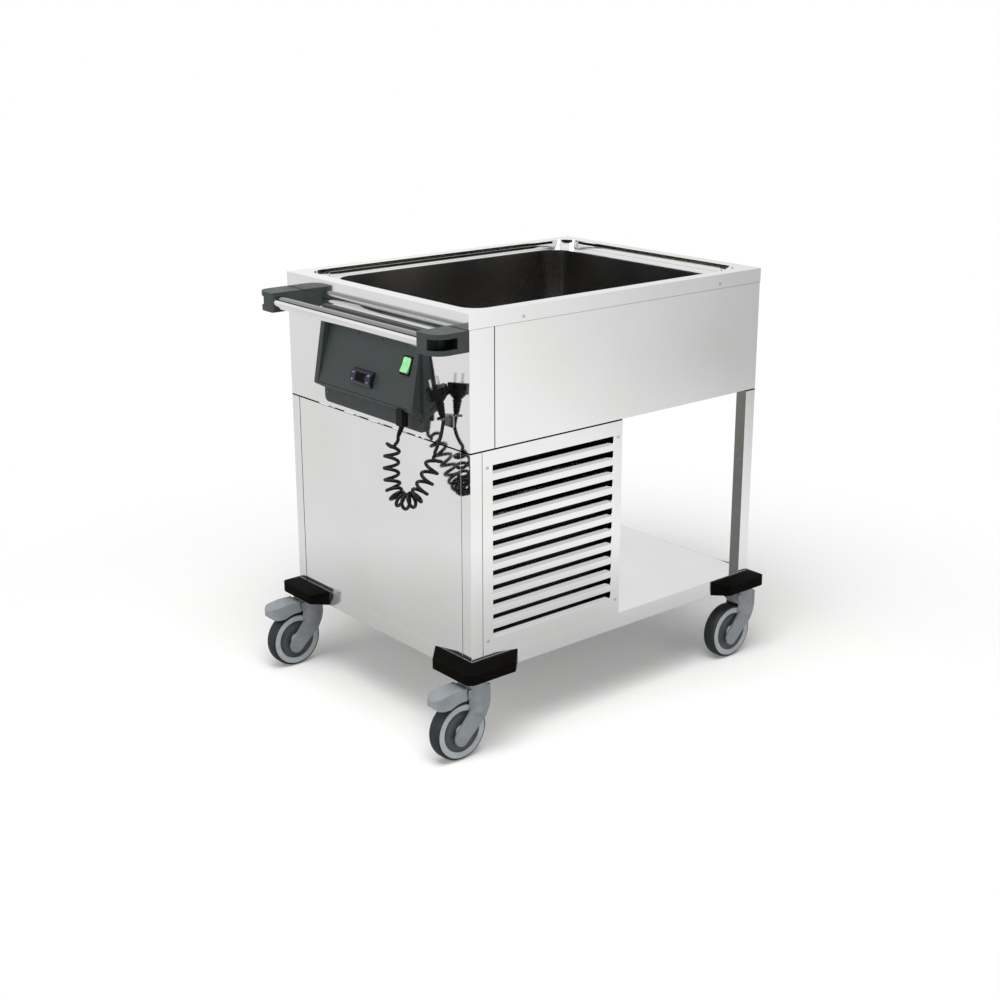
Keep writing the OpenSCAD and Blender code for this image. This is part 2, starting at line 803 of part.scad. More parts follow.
module control_face() {
    color(slate) at_body() difference() {
        on_face(housing_y, face_l / 2)
            block([0, -cheek_in, -face_l / 2 + 0.5], [face_t, cheek_in, face_l / 2 - 0.5]);
        on_face(0, thermo_rise)
            cube([4 * face_t, thermo_case_w, thermo_case_h], center = true);
        on_face(housing_y + rocker_y, rocker_rise)
            cube([4 * face_t, rocker_open_w + rocker_rim, rocker_open_l + rocker_rim], center = true);
        for (i = [0 : slit_count - 1])
            on_face(housing_y - 28 + (i - (slit_count - 1) / 2) * slit_pitch, face_l - 16)
                cube([face_t, 1.6, 9], center = true);
    }
}

// The thermostat's front bulges out in an arc that runs from its lower to its upper edge.
bulge = thermo_out - thermo_edge;
bulge_r = (pow(thermo_h / 2, 2) + pow(bulge, 2)) / (2 * bulge);

module thermostat_front(w, h, lift) {
    intersection() {
        block([-thermo_out - lift - over, -w / 2, -h / 2], [0, w / 2, h / 2]);
        translate([-thermo_out - lift + bulge_r, -w / 2, 0])
            rotate([-90, 0, 0])
                cylinder(r = bulge_r, h = w, $fn = 96);
    }
}

key_pocket = 4;

module thermostat_case() {
    color("#1d1d2a") at_body() on_face(0, thermo_rise) difference() {
        union() {
            thermostat_front(thermo_w, thermo_h, 0);
            block([-over, -thermo_case_w / 2, -thermo_case_h / 2],
                [thermo_deep, thermo_case_w / 2, thermo_case_h / 2]);
        }
        block([-thermo_out - over, -window_w / 2, -window_h / 2],
            [-thermo_out + 2.5, window_w / 2, window_h / 2]);
        for (sy = [-1, 1], sz = [-1, 1])
            translate([0, sy * key_x, sz * key_y])
                block([-thermo_out - over, -key_w / 2 - key_gap, -key_h / 2 - key_gap],
                    [-thermo_out + key_pocket + 2, key_w / 2 + key_gap, key_h / 2 + key_gap]);
    }
}

// The key's foot stops short of the pocket's floor by more than its travel.
module thermostat_key(sy, sz) {
    color("#c9cdd6") at_body() on_face(0, thermo_rise) intersection() {
        thermostat_front(thermo_w, thermo_h, 0.6);
        block([-thermo_out - 2 * over, sy * key_x - key_w / 2, sz * key_y - key_h / 2],
            [-thermo_out + key_pocket + 2 - key_travel - 0.2, sy * key_x + key_w / 2, sz * key_y + key_h / 2]);
    }
}

module thermostat_key_1() thermostat_key(1, 1);
module thermostat_key_2() thermostat_key(1, -1);
module thermostat_key_3() thermostat_key(-1, 1);
module thermostat_key_4() thermostat_key(-1, -1);

rocker_deep = 16;
rocker_face = 2.5;

module rocker_frame() {
    w = rocker_open_w + 2 * rocker_rim;
    l = rocker_open_l + 2 * rocker_rim;
    color(black) at_body() on_face(housing_y + rocker_y, rocker_rise) difference() {
        union() {
            block([-rocker_face, -w / 2 - 0.5, -l / 2 - 0.5], [0, w / 2 + 0.5, l / 2 + 0.5]);
            block([-over, -w / 2 + rocker_rim / 2, -l / 2 + rocker_rim / 2],
                [rocker_deep, w / 2 - rocker_rim / 2, l / 2 - rocker_rim / 2]);
        }
        block([-rocker_face - over, -rocker_open_w / 2, -rocker_open_l / 2],
            [rocker_deep - 1.5, rocker_open_w / 2, rocker_open_l / 2]);
        translate([rocker_pin_in, 0, 0])
            across(rocker_pin_r + run_gap, rocker_open_w + 4 * rocker_rim);
    }
}

// The rocker turns on its pin across the frame and rests with its lower end pressed in.
module rocker_button() {
    half = rocker_l / 2;
    color("#79d884") at_body() on_face(housing_y + rocker_y, rocker_rise)
        translate([rocker_pin_in, 0, 0])
            rotate([0, rocker_tilt, 0]) {
                intersection() {
                    side_profile(-rocker_w / 2, rocker_w / 2)
                        polygon([[6, -4], [-3, -half], [-7.6, -half], [-6.2, 0], [-7.6, half], [-3, half],
                            [6, 4]]);
                    rotate([0, 90, 0])
                        translate([0, 0, -rocker_l])
                            round_block(rocker_l, rocker_w, rocker_r, 2 * rocker_l);
                }
                across(rocker_pin_r, rocker_open_w + rocker_rim - 0.6);
            }
}

// ---- Push handle ----

handle_x = -half_l - handle_out;
bracket_front = -half_l - bracket_out;
bracket_in_y = half_w - bracket_w;
bracket_z = handle_z - bracket_h / 2;

module bracket_shape() {
    difference() {
        translate([0, 0, bracket_z])
            linear_extrude(bracket_h) {
                polygon([[-half_l, bracket_in_y], [bracket_front + 3, bracket_in_y],
                    [bracket_front, bracket_in_y + 3], [bracket_front, half_w - bracket_r],
                    [bracket_front + bracket_r, half_w], [-half_l, half_w]]);
                intersection() {
                    translate([bracket_front + bracket_r, half_w - bracket_r])
                        circle(bracket_r, $fn = 96);
                    translate([bracket_front - over, half_w - bracket_r])
                        square([bracket_r + over, bracket_r + over]);
                }
            }
        translate([handle_x, bracket_in_y - over, handle_z])
            rotate([-90, 0, 0])
                cylinder(r = handle_d / 2 + socket_gap, h = socket_depth + over);
        translate([bracket_front + bracket_r, half_w - bracket_r, handle_z - pocket_h / 2])
            linear_extrude(pocket_h) {
                translate([-over, bracket_r - pocket_depth])
                    square([bracket_out - bracket_r - pocket_start + over, pocket_depth + over]);
                difference() {
                    intersection() {
                        circle(bracket_r + over, $fn = 96);
                        polygon([[0, 0], [0, 2 * bracket_r], [-2 * bracket_r, 2 * bracket_r], [-2 * bracket_r, 4]]);
                    }
                    circle(bracket_r - pocket_depth, $fn = 96);
                }
            }
    }
}

module handle_brackets() {
    color(slate) at_body() {
        bracket_shape();
        mirror([0, 1, 0])
            bracket_shape();
    }
}

module handle_tube() {
    tube_half = bracket_in_y + socket_depth - socket_gap;
    color("#e4e5e3") at_body() translate([handle_x, 0, handle_z]) difference() {
        rotate([90, 0, 0])
            cylinder(r = handle_d / 2, h = 2 * tube_half, center = true, $fn = 96);
        rotate([90, 0, 0])
            cylinder(r = handle_d / 2 - handle_wall, h = 2 * tube_half + 2 * over, center = true, $fn = 96);
        rotate([0, groove_angle, 0])
            translate([-handle_d / 2, 0, 0])
                cube([2 * groove_d, 2 * (bracket_in_y - groove_end), groove_w], center = true);
    }
}

// ---- Mains lead ----

// The points that each stretch of the lead follows, from the gland to the plug. They are measured
// from the corner at the end panel, the housing's side and the rim's top.
cord_corner = [-half_l, housing_y - cheek_span / 2, body_h];
gland_y = housing_y - cheek_span / 2 + gland_in;
gland_front = lip_x - gland_out;
gland_back = gland_front + gland_d;
gland_x = (gland_front + gland_back) / 2;
gland_bottom = lip_z - gland_h;
sleeve_dir = unit([-4, 7, -20]);
lead_top = [gland_x, gland_y, gland_bottom] + sleeve_l * sleeve_dir;
plug_at = cord_corner + [-16.5, -75, -206];
plug_lean = [-5.8, -11, 0];
plug_dir = [-0.19, 0.101, 0.977];
curl_route = [for (p = [[-32, 35.5, -244], [-38, 44.5, -277], [-51, 42, -285.5], [-58.5, 36, -303],
    [-65.5, 28.5, -323], [-70.5, 20, -342], [-73, 12, -358.5], [-74, 2, -369.5], [-72.5, -10.5, -376.5],
    [-70.5, -25, -378], [-68.5, -39, -372.5], [-63, -49, -362.5], [-55.5, -55, -349.5],
    [-48, -60.5, -331.5], [-40.5, -65.5, -311.5], [-33.5, -69, -290.5], [-34, -72, -277]]) cord_corner + p];
curl_spans = len(curl_route) - 1;
curl_dir = unit(curl_route[2] - curl_route[0]);
lead_route = [lead_top, lead_top + 3 * sleeve_dir, curl_route[1] - 3 * curl_dir, curl_route[1]];
tail_route = concat([for (p = [[-34, -72, -277], [-33.5, -71.8, -273.5], [-28.5, -71.2, -266],
    [-22, -70.8, -253.5], [-17.5, -71, -241], [-15, -71.5, -230]]) cord_corner + p],
    [plug_at - 7 * plug_dir, plug_at]);

function unit(v) = v / norm(v);

// A smooth curve through the route's points: t runs from 0 to the number of stretches.
function spline(p, t) =
    let (n = len(p) - 1, i = min(floor(t), n - 1), f = t - i,
        a = p[max(i - 1, 0)], b = p[i], c = p[i + 1], d = p[min(i + 2, n)])
    0.5 * (2 * b + (c - a) * f + (2 * a - 5 * b + 4 * c - d) * f * f + (3 * b - a - 3 * c + d) * f * f * f);

// The side direction of a path that stays close to a plane across X.
function side_of(dir) = unit(cross(dir, [1, 0, 0]));

// One closed tube swept along a list of points, with triangles for faces.
module tube(path, r, sides) {
    n = len(path);
    dirs = [for (i = [0 : n - 1]) unit(path[min(i + 1, n - 1)] - path[max(i - 1, 0)])];
    first = unit(cross(dirs[0], cross([0.3, 1, 0.2], dirs[0])));
    function frames(i, u, out) = i == n ? out :
        let (v = unit(u - dirs[i] * (u * dirs[i]))) frames(i + 1, v, concat(out, [v]));
    us = frames(0, first, []);
    points = [for (i = [0 : n - 1]) for (k = [0 : sides - 1])
        let (a = 360 * k / sides) path[i] + r * (cos(a) * us[i] + sin(a) * cross(dirs[i], us[i]))];
    walls = [for (i = [0 : n - 2]) for (k = [0 : sides - 1])
        let (a = i * sides + k, b = i * sides + (k + 1) % sides)
        each [[a, a + sides, b], [b, a + sides, b + sides]]];
    low_end = [for (k = [1 : sides - 2]) [0, k, k + 1]];
    high = (n - 1) * sides;
    high_end = [for (k = [1 : sides - 2]) [high, high + k + 1, high + k]];
    polyhedron(points = points, faces = concat(walls, low_end, high_end), convexity = 10);
}

ring_step = 0.5;

// The curls: the lead winds round the route at half the curl diameter, from the route's second
// point to its last one. At both ends it runs on the route itself, so the curls start and stop in
// line with the plain stretches. The route's first point only gives the direction of the start.
rings_per_curl = 8;
curl_rings = (curl_spans - 1) * rings_per_curl;
curl_turn = -349;
curl_start = 93;
lead_in = 1.45;
tail_in = 0.4;
ramp = 0.6;
function ease(x) = x <= 0 ? 0 : x >= 1 ? 1 : x * x * (3 - 2 * x);
function curl_radius(t) = curl_d / 2 * ease(min(t - lead_in, curl_spans - tail_in - t) / ramp);
function curl_point(t) =
    let (dir = unit(spline(curl_route, min(t + 0.02, curl_spans)) - spline(curl_route, max(t - 0.02, 0))),
        u = side_of(dir), v = cross(dir, u), a = curl_start + curl_turn * (t - 2))
    spline(curl_route, t) + curl_radius(t) * (cos(a) * u + sin(a) * v);
curl_path = [for (i = [0 : curl_rings]) curl_point(1 + i / rings_per_curl)];

// Least gap of the curls to themselves, measured between points more than half a curl apart.
curl_gap = min([for (i = [0 : curl_rings - 6]) for (j = [i + 6 : curl_rings])
    norm(curl_path[i] - curl_path[j])]) - cord_d;
lead_path = [for (t = [0 : ring_step : len(lead_route) - 1]) spline(lead_route, t)];
tail_path = [for (t = [0 : ring_step : len(tail_route) - 1]) spline(tail_route, t)];
function path_l(p) = [for (i = [0 : len(p) - 2]) norm(p[i + 1] - p[i])] * [for (i = [0 : len(p) - 2]) 1];
echo(curl_gap = curl_gap, lead_l = path_l(lead_path), curls_l = path_l(curl_path), tail_l = path_l(tail_path));

module cord_lead() {
    color(black) at_body()
        tube(lead_path, cord_d / 2, 8);
}

module cord_curls() {
    color(black) at_body()
        tube(curl_path, cord_d / 2, 6);
}

module cord_tail() {
    color(black) at_body()
        tube(tail_path, cord_d / 2, 8);
}

// The block hangs under the housing's front edge and reaches round it.
module cable_gland() {
    slope = (lip_z - 3.5 - heel_z) / (plate_x - lip_x - 1.5);
    color(black) at_body() {
        side_profile(gland_y - gland_w / 2, gland_y + gland_w / 2)
            polygon([[gland_front, gland_bottom], [gland_front, lip_z], [lip_x - 0.3, lip_z],
                [lip_x + 1.2, lip_z - 3.8], [gland_back, lip_z - 3.5 - (gland_back - lip_x - 1.5) * slope],
                [gland_back, gland_bottom]]);
        translate([gland_x, gland_y, gland_bottom])
            rotate([0, acos(sleeve_dir[2]), atan2(sleeve_dir[1], sleeve_dir[0])])
                translate([0, 0, -2])
                    cylinder(r1 = sleeve_r, r2 = cord_d / 2 + 0.8, h = sleeve_l + 2);
    }
}

// The plug stands on the holder's fork, which leans with it.
module plug_holder() {
    slot_r = cord_d / 2 + holder_gap;
    color("#8c8f90") at_body() {
        block([-half_l - 3, plug_at[1] - holder_w / 2, plug_at[2] - holder_h],
            [-half_l, plug_at[1] + holder_w / 2, plug_at[2]]);
        difference() {
            intersection() {
                at_plug()
                    block([-slot_r - 5, -slot_r - 4, -fork_plate_t], [40, slot_r + 4, 0]);
                block([-half_l - 60, plug_at[1] - 40, plug_at[2] - 40], [-half_l, plug_at[1] + 40, plug_at[2] + 40]);
            }
            at_plug()
                translate([0, 0, -2 * fork_plate_t])
                    cylinder(r = slot_r, h = 3 * fork_plate_t);
            at_plug()
                block([-slot_r - 5 - over, -slot_r, -2 * fork_plate_t], [0, slot_r, fork_plate_t]);
        }
    }
}

module at_plug() {
    translate(plug_at)
        rotate(plug_lean)
            children();
}

module plug_body() {
    color(black) at_body() at_plug() difference() {
        union() {
            cylinder(r1 = cord_d / 2 + 1.5, r2 = 8.5, h = plug_neck_l);
            for (i = [0 : 3])
                translate([0, 0, 5 + 6 * i])
                    cylinder(r = 6.6 + 0.8 * i, h = 3);
            translate([0, 0, plug_neck_l])
                cylinder(r1 = 9.5, r2 = plug_r, h = plug_body_l / 3);
            translate([0, 0, plug_neck_l + plug_body_l / 3])
                cylinder(r = plug_r, h = plug_body_l * 2 / 3);
            for (s = [-1, 1])
                translate([s * (plug_r + 1), 0, plug_neck_l + plug_body_l - 11])
                    cube([6, 12, 22], center = true);
        }
        for (s = [-1, 1])
            translate([0, s * (plug_r + 2), plug_neck_l + plug_body_l - 6])
                cube([8, 9, 14], center = true);
        for (s = [-1, 1])
            translate([s * pin_pitch / 2, 0, plug_neck_l + plug_body_l - 6])
                cylinder(r = pin_r, h = 6 + over);
    }
}

module plug_pins() {
    color("#d6d7d6") at_body() at_plug()
        for (s = [-1, 1])
            translate([s * pin_pitch / 2, 0, plug_neck_l + plug_body_l - 6])
                cylinder(r = pin_r, h = pin_l + 6);
}

// ---- Bumpers ----

module bumper_shape() {
    slope = atan2(bumper_h - bumper_side_h, bumper_out);
    low = base_bottom + 0.5;
    reach = bumper_leg - bumper_out;
    difference() {
        translate([0, 0, low])
            linear_extrude(bumper_h)
                intersection() {
                    difference() {
                        round_rect(body_l + 2 * bumper_out, body_w + 2 * bumper_out, bumper_r);
                        square([body_l, body_w], center = true);
                    }
                    translate([half_l, half_w])
                        polygon([[-bumper_leg, 0], [-reach, bumper_out], [-reach, bumper_out + over],
                            [bumper_out + over, bumper_out + over], [bumper_out + over, -reach],
                            [bumper_out, -reach], [0, -bumper_leg], [-over, -bumper_leg], [-over, -over],
                            [-bumper_leg, -over]]);
                }
        translate([half_l, half_w, low + bumper_h])
            rotate([0, slope, 0])
                translate([0, -2 * bumper_leg, 0])
                    cube([3 * bumper_out, 3 * bumper_leg, bumper_h]);
        translate([half_l, half_w, low + bumper_h])
            rotate([-slope, 0, 0])
                translate([-2 * bumper_leg, 0, 0])
                    cube([3 * bumper_leg, 3 * bumper_out, bumper_h]);
    }
}

module corner_bumpers() {
    color("#161513") at_body()
        for (sx = [0, 1], sy = [0, 1])
            mirror([sx, 0, 0])
                mirror([0, sy, 0])
                    bumper_shape();
}

// ---- Casters ----

// Corner signs of the four casters: 1 and 2 are at the handle end and have a brake.
corner = [[-1, -1], [-1, 1], [1, -1], [1, 1]];
wheel_r = wheel_d / 2;
leg_in = wheel_w / 2 + fork_gap;
leg_out = leg_in + fork_t;
axle_l = 2 * (leg_out - axle_cap);
leg_end = [-trail - 4, wheel_r - 12];
leg_r = 17;
pedal_pin = [-21, neck_top - 12.5];
pedal_pin_r = 3;
pedal_pin_l = 32;

module at_caster(i) {
    at_body()
        translate([corner[i][0] * caster_x, corner[i][1] * caster_y, 0])
            children();
}

module across(r, h) {
    rotate([90, 0, 0])
        cylinder(r = r, h = h, center = true, $fn = 96);
}

module caster_discs() {
    color(caster_grey)
        for (i = [0 : 3])
            at_caster(i) {
                translate([0, 0, neck_top + swivel_gap])
                    cylinder(r = disc_r, h = base_bottom - neck_top - swivel_gap);
                translate([0, 0, neck_top - kingpin_l])
                    cylinder(r = stem_r, h = base_bottom + stem_h - neck_top + kingpin_l);
            }
}

module fork_leg_outline() {
    translate(leg_end)
        circle(leg_r);
    polygon([[neck_r - 1, neck_top - 6], [neck_r - 1, neck_top - 41], [neck_r - 5, neck_top - 57],
        [neck_r - 14, neck_top - 74.5], leg_end + leg_r * [0.669, -0.743], leg_end + leg_r * [-0.79, 0.61],
        [-32, neck_top - 63], [-14, neck_top - 40], [-20, neck_top - 27], [-neck_r + 1, neck_top - 20],
        [-neck_r + 1, neck_top - 6]]);
}

module fork_shape(i) {
    color(caster_grey) at_caster(i) difference() {
        union() {
            translate([0, 0, neck_top - 58])
                cylinder(r = neck_r, h = 58);
            for (s = [-1, 1])
                translate([0, s * (leg_in + leg_out) / 2, 0])
                    side_profile(-fork_t / 2, fork_t / 2)
                        fork_leg_outline();
        }
        translate([-trail, 0, wheel_r])
            across(wheel_r + tread_gap, 2 * leg_in);
        translate([-trail - wheel_r, -leg_in, 0])
            cube([2 * wheel_r, 2 * leg_in, wheel_r + 20]);
        translate([-trail, 0, wheel_r])
            across(axle_r, axle_l);
        translate([0, 0, neck_top - kingpin_l - over])
            cylinder(r = stem_r + run_gap, h = kingpin_l + 2 * over);
        if (i < 2) {
            translate([pedal_pin[0], 0, pedal_pin[1]])
                across(pedal_pin_r + run_gap, pedal_pin_l + 2 * run_gap);
            translate([pedal_pin[0], 0, pedal_pin[1]])
                across(8, 21);
            block([-neck_r - over, -10.5, pedal_pin[1] - 8], [pedal_pin[0], 10.5, neck_top + over]);
        }
    }
}

module caster_fork_1() fork_shape(0);
module caster_fork_2() fork_shape(1);
module caster_fork_3() fork_shape(2);
module caster_fork_4() fork_shape(3);

// The pedal turns on a pin through the neck; its hood bends round the tread without touching it.
module pedal_shape(i) {
    tip = pedal_reach;
    top = neck_top - 1;
    color("#999ea3") at_caster(i) {
        difference() {
            intersection() {
                side_profile(-pedal_half_w, pedal_half_w)
                    polygon([[-24, top], [-66, top], [-tip + 12, top - 4.5], [-tip + 2, top - 9.5],
                        [-tip, top - 14.5], [-tip + 1, top - 22.5], [-tip + 9, top - 30.5], [-tip + 22, top - 33],
                        [-24, top - 33]]);
                translate([0, 0, top - 60])
                    linear_extrude(80) {
                        translate([-tip + pedal_half_w, 0])
                            circle(pedal_half_w);
                        translate([-tip + pedal_half_w, -pedal_half_w])
                            square([tip, 2 * pedal_half_w]);
                    }
            }
            block([-neck_r - 2.5, -leg_out - over, 0], [neck_r, leg_out + over, 2 * neck_top]);
            translate([-trail, 0, wheel_r])
                across(wheel_r + tread_gap, 3 * pedal_half_w);
            translate([-trail, 0, wheel_r])
                across(wheel_r + tread_gap + 5.5, 2 * leg_in);
        }
        translate([pedal_pin[0], 0, pedal_pin[1]])
            across(7, 20);
        block([-neck_r - 4, -10, pedal_pin[1] - 3], [pedal_pin[0], 10, pedal_pin[1] + 7]);
        translate([pedal_pin[0], 0, pedal_pin[1]])
            across(pedal_pin_r, pedal_pin_l);
    }
}

module brake_pedal_1() pedal_shape(0);
module brake_pedal_2() pedal_shape(1);

module tread_shape(i) {
    r = wheel_r;
    color(tread_grey) at_caster(i) translate([-trail, 0, wheel_r]) rotate([90, 0, 0])
        rotate_extrude($fn = 128)
            polygon([[r - tread_t, -wheel_w / 2 + 1], [r - 3, -wheel_w / 2 + 1], [r - 1.2, -wheel_w / 2 + 4],
                [r, -wheel_w / 2 + 9], [r, wheel_w / 2 - 9], [r - 1.2, wheel_w / 2 - 4],
                [r - 3, wheel_w / 2 - 1], [r - tread_t, wheel_w / 2 - 1]]);
}

module wheel_tread_1() tread_shape(0);
module wheel_tread_2() tread_shape(1);
module wheel_tread_3() tread_shape(2);
module wheel_tread_4() tread_shape(3);

module rim_shape(i) {
    r = wheel_r - tread_t;
    half = wheel_w / 2;
    color(caster_grey) at_caster(i) translate([-trail, 0, wheel_r]) rotate([90, 0, 0])
        rotate_extrude($fn = 128)
            polygon([[axle_r + run_gap, -half], [12, -half], [14, -half + 4], [cover_r - 2, -half + 5],
                [cover_r, -half + 1], [cover_r + 1, -half], [r, -half], [r, half], [cover_r + 1, half],
                [cover_r, half - 1], [cover_r - 2, half - 5], [14, half - 4], [12, half],
                [axle_r + run_gap, half]]);
}

module wheel_rim_1() rim_shape(0);
module wheel_rim_2() rim_shape(1);
module wheel_rim_3() rim_shape(2);
module wheel_rim_4() rim_shape(3);

module axle_shape(i) {
    color("#b9bbbb") at_caster(i) translate([-trail, 0, wheel_r])
        across(axle_r, axle_l);
}

module wheel_axle_1() axle_shape(0);
module wheel_axle_2() axle_shape(1);
module wheel_axle_3() axle_shape(2);
module wheel_axle_4() axle_shape(3);

// ---- Cooling machine in the bay ----

module compressor() {
    color("#242525") at_body() translate([comp_axis_x, comp_y, comp_base_z]) {
        block([-comp_plate_l / 2, -comp_plate_w / 2, 0], [comp_plate_l / 2, comp_plate_w / 2, 4]);
        for (sx = [-1, 1], sy = [-1, 1])
            translate([sx * (comp_plate_l / 2 - comp_foot_r - 5), sy * (comp_plate_w / 2 - comp_foot_r - 4),
                -comp_foot])
                cylinder(r = comp_foot_r, h = comp_foot);
        translate([0, 0, 4])
            cylinder(r = comp_r - 6, h = comp_h);
        translate([0, 0, comp_h / 2 - 20])
            cylinder(r = comp_r, h = comp_h / 2 + 20);
        translate([0, 0, comp_h])
            intersection() {
                sphere(comp_r);
                cylinder(r = comp_r, h = comp_r);
            }
        translate([-comp_r - 18, -22, comp_h / 2 - 20])
            cube([24, 44, 50]);
    }
}

shroud_d = 24;
fan_y = cond_y + cond_d + shroud_d / 2;
fan_z = cond_base_z + cond_h / 2;
bar_y = cond_y + cond_d + shroud_d;
bar_t = 3;
motor_l = 40;
shaft_r = 4;

module condenser() {
    color("#6c6f70") at_body() translate([cond_axis_x, 0, 0]) {
        block([-cond_w / 2, cond_y, cond_base_z], [cond_w / 2, cond_y + cond_d, cond_base_z + cond_h]);
        for (s = [-1, 1])
            translate([s * cond_w / 2, 0, 0])
                block([-8, cond_y, deck_z], [8, cond_y + cond_d, cond_base_z + cond_h]);
        difference() {
            block([-cond_w / 2, cond_y + cond_d, cond_base_z], [cond_w / 2, bar_y, cond_base_z + cond_h]);
            translate([0, fan_y, fan_z])
                across(fan_r + 6, 2 * shroud_d);
        }
        difference() {
            union() {
                block([-cond_w / 2, bar_y, fan_z - 15], [cond_w / 2, bar_y + bar_t, fan_z + 15]);
                translate([0, bar_y + bar_t / 2 + motor_l / 2, fan_z])
                    across(28, motor_l);
            }
            translate([0, bar_y, fan_z])
                across(shaft_r + run_gap, motor_l);
        }
    }
}

module condenser_fan() {
    color("#3c3e3f") at_body() translate([cond_axis_x, fan_y, fan_z]) {
        across(18, shroud_d - 8);
        translate([0, shroud_d / 2 + 6, 0])
            across(shaft_r, shroud_d);
        for (i = [0 : 4])
            rotate([0, 72 * i, 0])
                translate([fan_r / 2 + 6, 0, 0])
                    rotate([25, 0, 0])
                        cube([fan_r - 14, 2, 40], center = true);
    }
}

// ---- Drain ----

drain_end = upper_bottom - drain_drop;
valve_h = 32;
valve_r = 17;
stem_y = -valve_r - 9;

module drain_pipe() {
    color("#c9c4ae") at_body() translate([drain_x, 0, 0]) difference() {
        union() {
            translate([0, 0, drain_end])
                cylinder(r = drain_r, h = well_z - sheet - drain_end);
            translate([0, 0, drain_end - valve_h])
                cylinder(r = valve_r, h = valve_h);
            translate([0, 0, drain_end - valve_h - 14])
                cylinder(r = drain_r, h = 14);
            translate([0, 0, drain_end - valve_h / 2])
                rotate([90, 0, 0])
                    cylinder(r = 6, h = -stem_y);
        }
        translate([0, 0, drain_end - valve_h - 15])
            cylinder(r = drain_r - drain_wall, h = 14);
        translate([0, 0, drain_end])
            cylinder(r = drain_r - drain_wall, h = well_z);
    }
}

module drain_lever() {
    color("#c23a2e") at_body() translate([drain_x, stem_y, drain_end - valve_h / 2]) {
        translate([0, -2, 0])
            across(8, 4);
        block([0, -4, -6], [lever_l, 0, 6]);
    }
}

top_rim();
well_tub();
air_strips();
insulation();
refrigerant_tubing();
front_fascia();
rear_fascia();
handle_end_fascia();
far_end_fascia();
upper_floor();
corner_posts();
base_tray();
lower_end_panel();
front_grille();
rear_grille();
bay_partition();
panel_screws();
control_housing();
control_face();
thermostat_case();
thermostat_key_1();
thermostat_key_2();
thermostat_key_3();
thermostat_key_4();
rocker_frame();
rocker_button();
cable_gland();
handle_brackets();
handle_tube();
plug_holder();
cord_lead();
cord_curls();
cord_tail();
plug_body();
plug_pins();
corner_bumpers();
caster_discs();
caster_fork_1();
caster_fork_2();
caster_fork_3();
caster_fork_4();
wheel_tread_1();
wheel_tread_2();
wheel_tread_3();
wheel_tread_4();
wheel_rim_1();
wheel_rim_2();
wheel_rim_3();
wheel_rim_4();
wheel_axle_1();
wheel_axle_2();
wheel_axle_3();
wheel_axle_4();
brake_pedal_1();
brake_pedal_2();
compressor();
condenser();
condenser_fan();
drain_pipe();
drain_lever();
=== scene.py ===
import math

import bmesh
import bpy
import numpy as np
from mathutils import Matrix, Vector


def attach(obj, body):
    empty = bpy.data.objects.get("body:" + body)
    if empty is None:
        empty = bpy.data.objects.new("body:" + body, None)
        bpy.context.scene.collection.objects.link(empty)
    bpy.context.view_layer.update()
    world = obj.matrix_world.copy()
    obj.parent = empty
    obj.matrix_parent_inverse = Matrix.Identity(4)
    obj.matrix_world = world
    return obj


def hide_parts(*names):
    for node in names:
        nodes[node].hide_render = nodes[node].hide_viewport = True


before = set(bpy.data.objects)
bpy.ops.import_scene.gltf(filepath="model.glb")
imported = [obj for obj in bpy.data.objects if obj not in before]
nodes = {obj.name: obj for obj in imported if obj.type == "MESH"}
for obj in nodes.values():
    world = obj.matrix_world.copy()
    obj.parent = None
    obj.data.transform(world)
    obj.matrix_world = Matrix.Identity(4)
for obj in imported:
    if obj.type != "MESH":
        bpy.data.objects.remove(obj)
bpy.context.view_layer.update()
scene = bpy.context.scene
scene.view_settings.view_transform = "Standard"

# ---- Camera ----
# A long lens a good three metres off the handle corner, a little above the rim. The horizon
# lies at the upper edge of the picture, and the shift is what the framing needs.
camera_data = bpy.data.cameras.new("studio_camera")
camera_data.lens = 55.05
camera_data.sensor_width = 36
camera_data.shift_x = -0.0102
camera_data.shift_y = -0.0346
camera_data.clip_start = 0.05
camera_data.clip_end = 200
camera = bpy.data.objects.new("studio_camera", camera_data)
camera.location = (-2.1079, -2.4937, 1.4453)
camera.rotation_euler = (math.radians(73.28), 0, math.radians(-40.08))
scene.collection.objects.link(camera)
scene.camera = camera

# ---- Mains lead ----
# A black rubber mains lead of 7 mm. It leaves the control housing through a black block, winds
# into fourteen curls that hang in a loop under their own weight, and ends in the parked plug.
BODY_X = 0.0335
CORD_R = 0.0035
CURL_R = 14
CURL_START = math.radians(93)
CURL_TURN = math.radians(-349)
# The curls' place on the route, counted in its points: the start, the end and the easing-in.
CURL_FIRST = 1.45
CURL_LAST = 0.4
CURL_EASE = 0.6
POINTS_PER_SPAN = 28


def at_body(point):
    """A point measured in mm from the middle of the steel body, in metres in the frame."""
    return Vector((point[0] / 1000 + BODY_X, point[1] / 1000, point[2] / 1000))


# The route is given in mm from a point on the end panel at the height of the rim's top.
CORNER = Vector((-405.5, -175, 900))
SLEEVE_DIR = Vector((-4, 7, -20)).normalized()
PLUG_AT = CORNER + Vector((-16.5, -75, -206))
PLUG_DIR = Vector((-0.19, 0.101, 0.977))
curl_route = [CORNER + Vector(p) for p in [
    (-32, 35.5, -244), (-38, 44.5, -277), (-51, 42, -285.5), (-58.5, 36, -303), (-65.5, 28.5, -323),
    (-70.5, 20, -342), (-73, 12, -358.5), (-74, 2, -369.5), (-72.5, -10.5, -376.5),
    (-70.5, -25, -378), (-68.5, -39, -372.5), (-63, -49, -362.5), (-55.5, -55, -349.5),
    (-48, -60.5, -331.5), (-40.5, -65.5, -311.5), (-33.5, -69, -290.5), (-34, -72, -277)]]
spans = len(curl_route) - 1
curl_dir = (curl_route[2] - curl_route[0]).normalized()
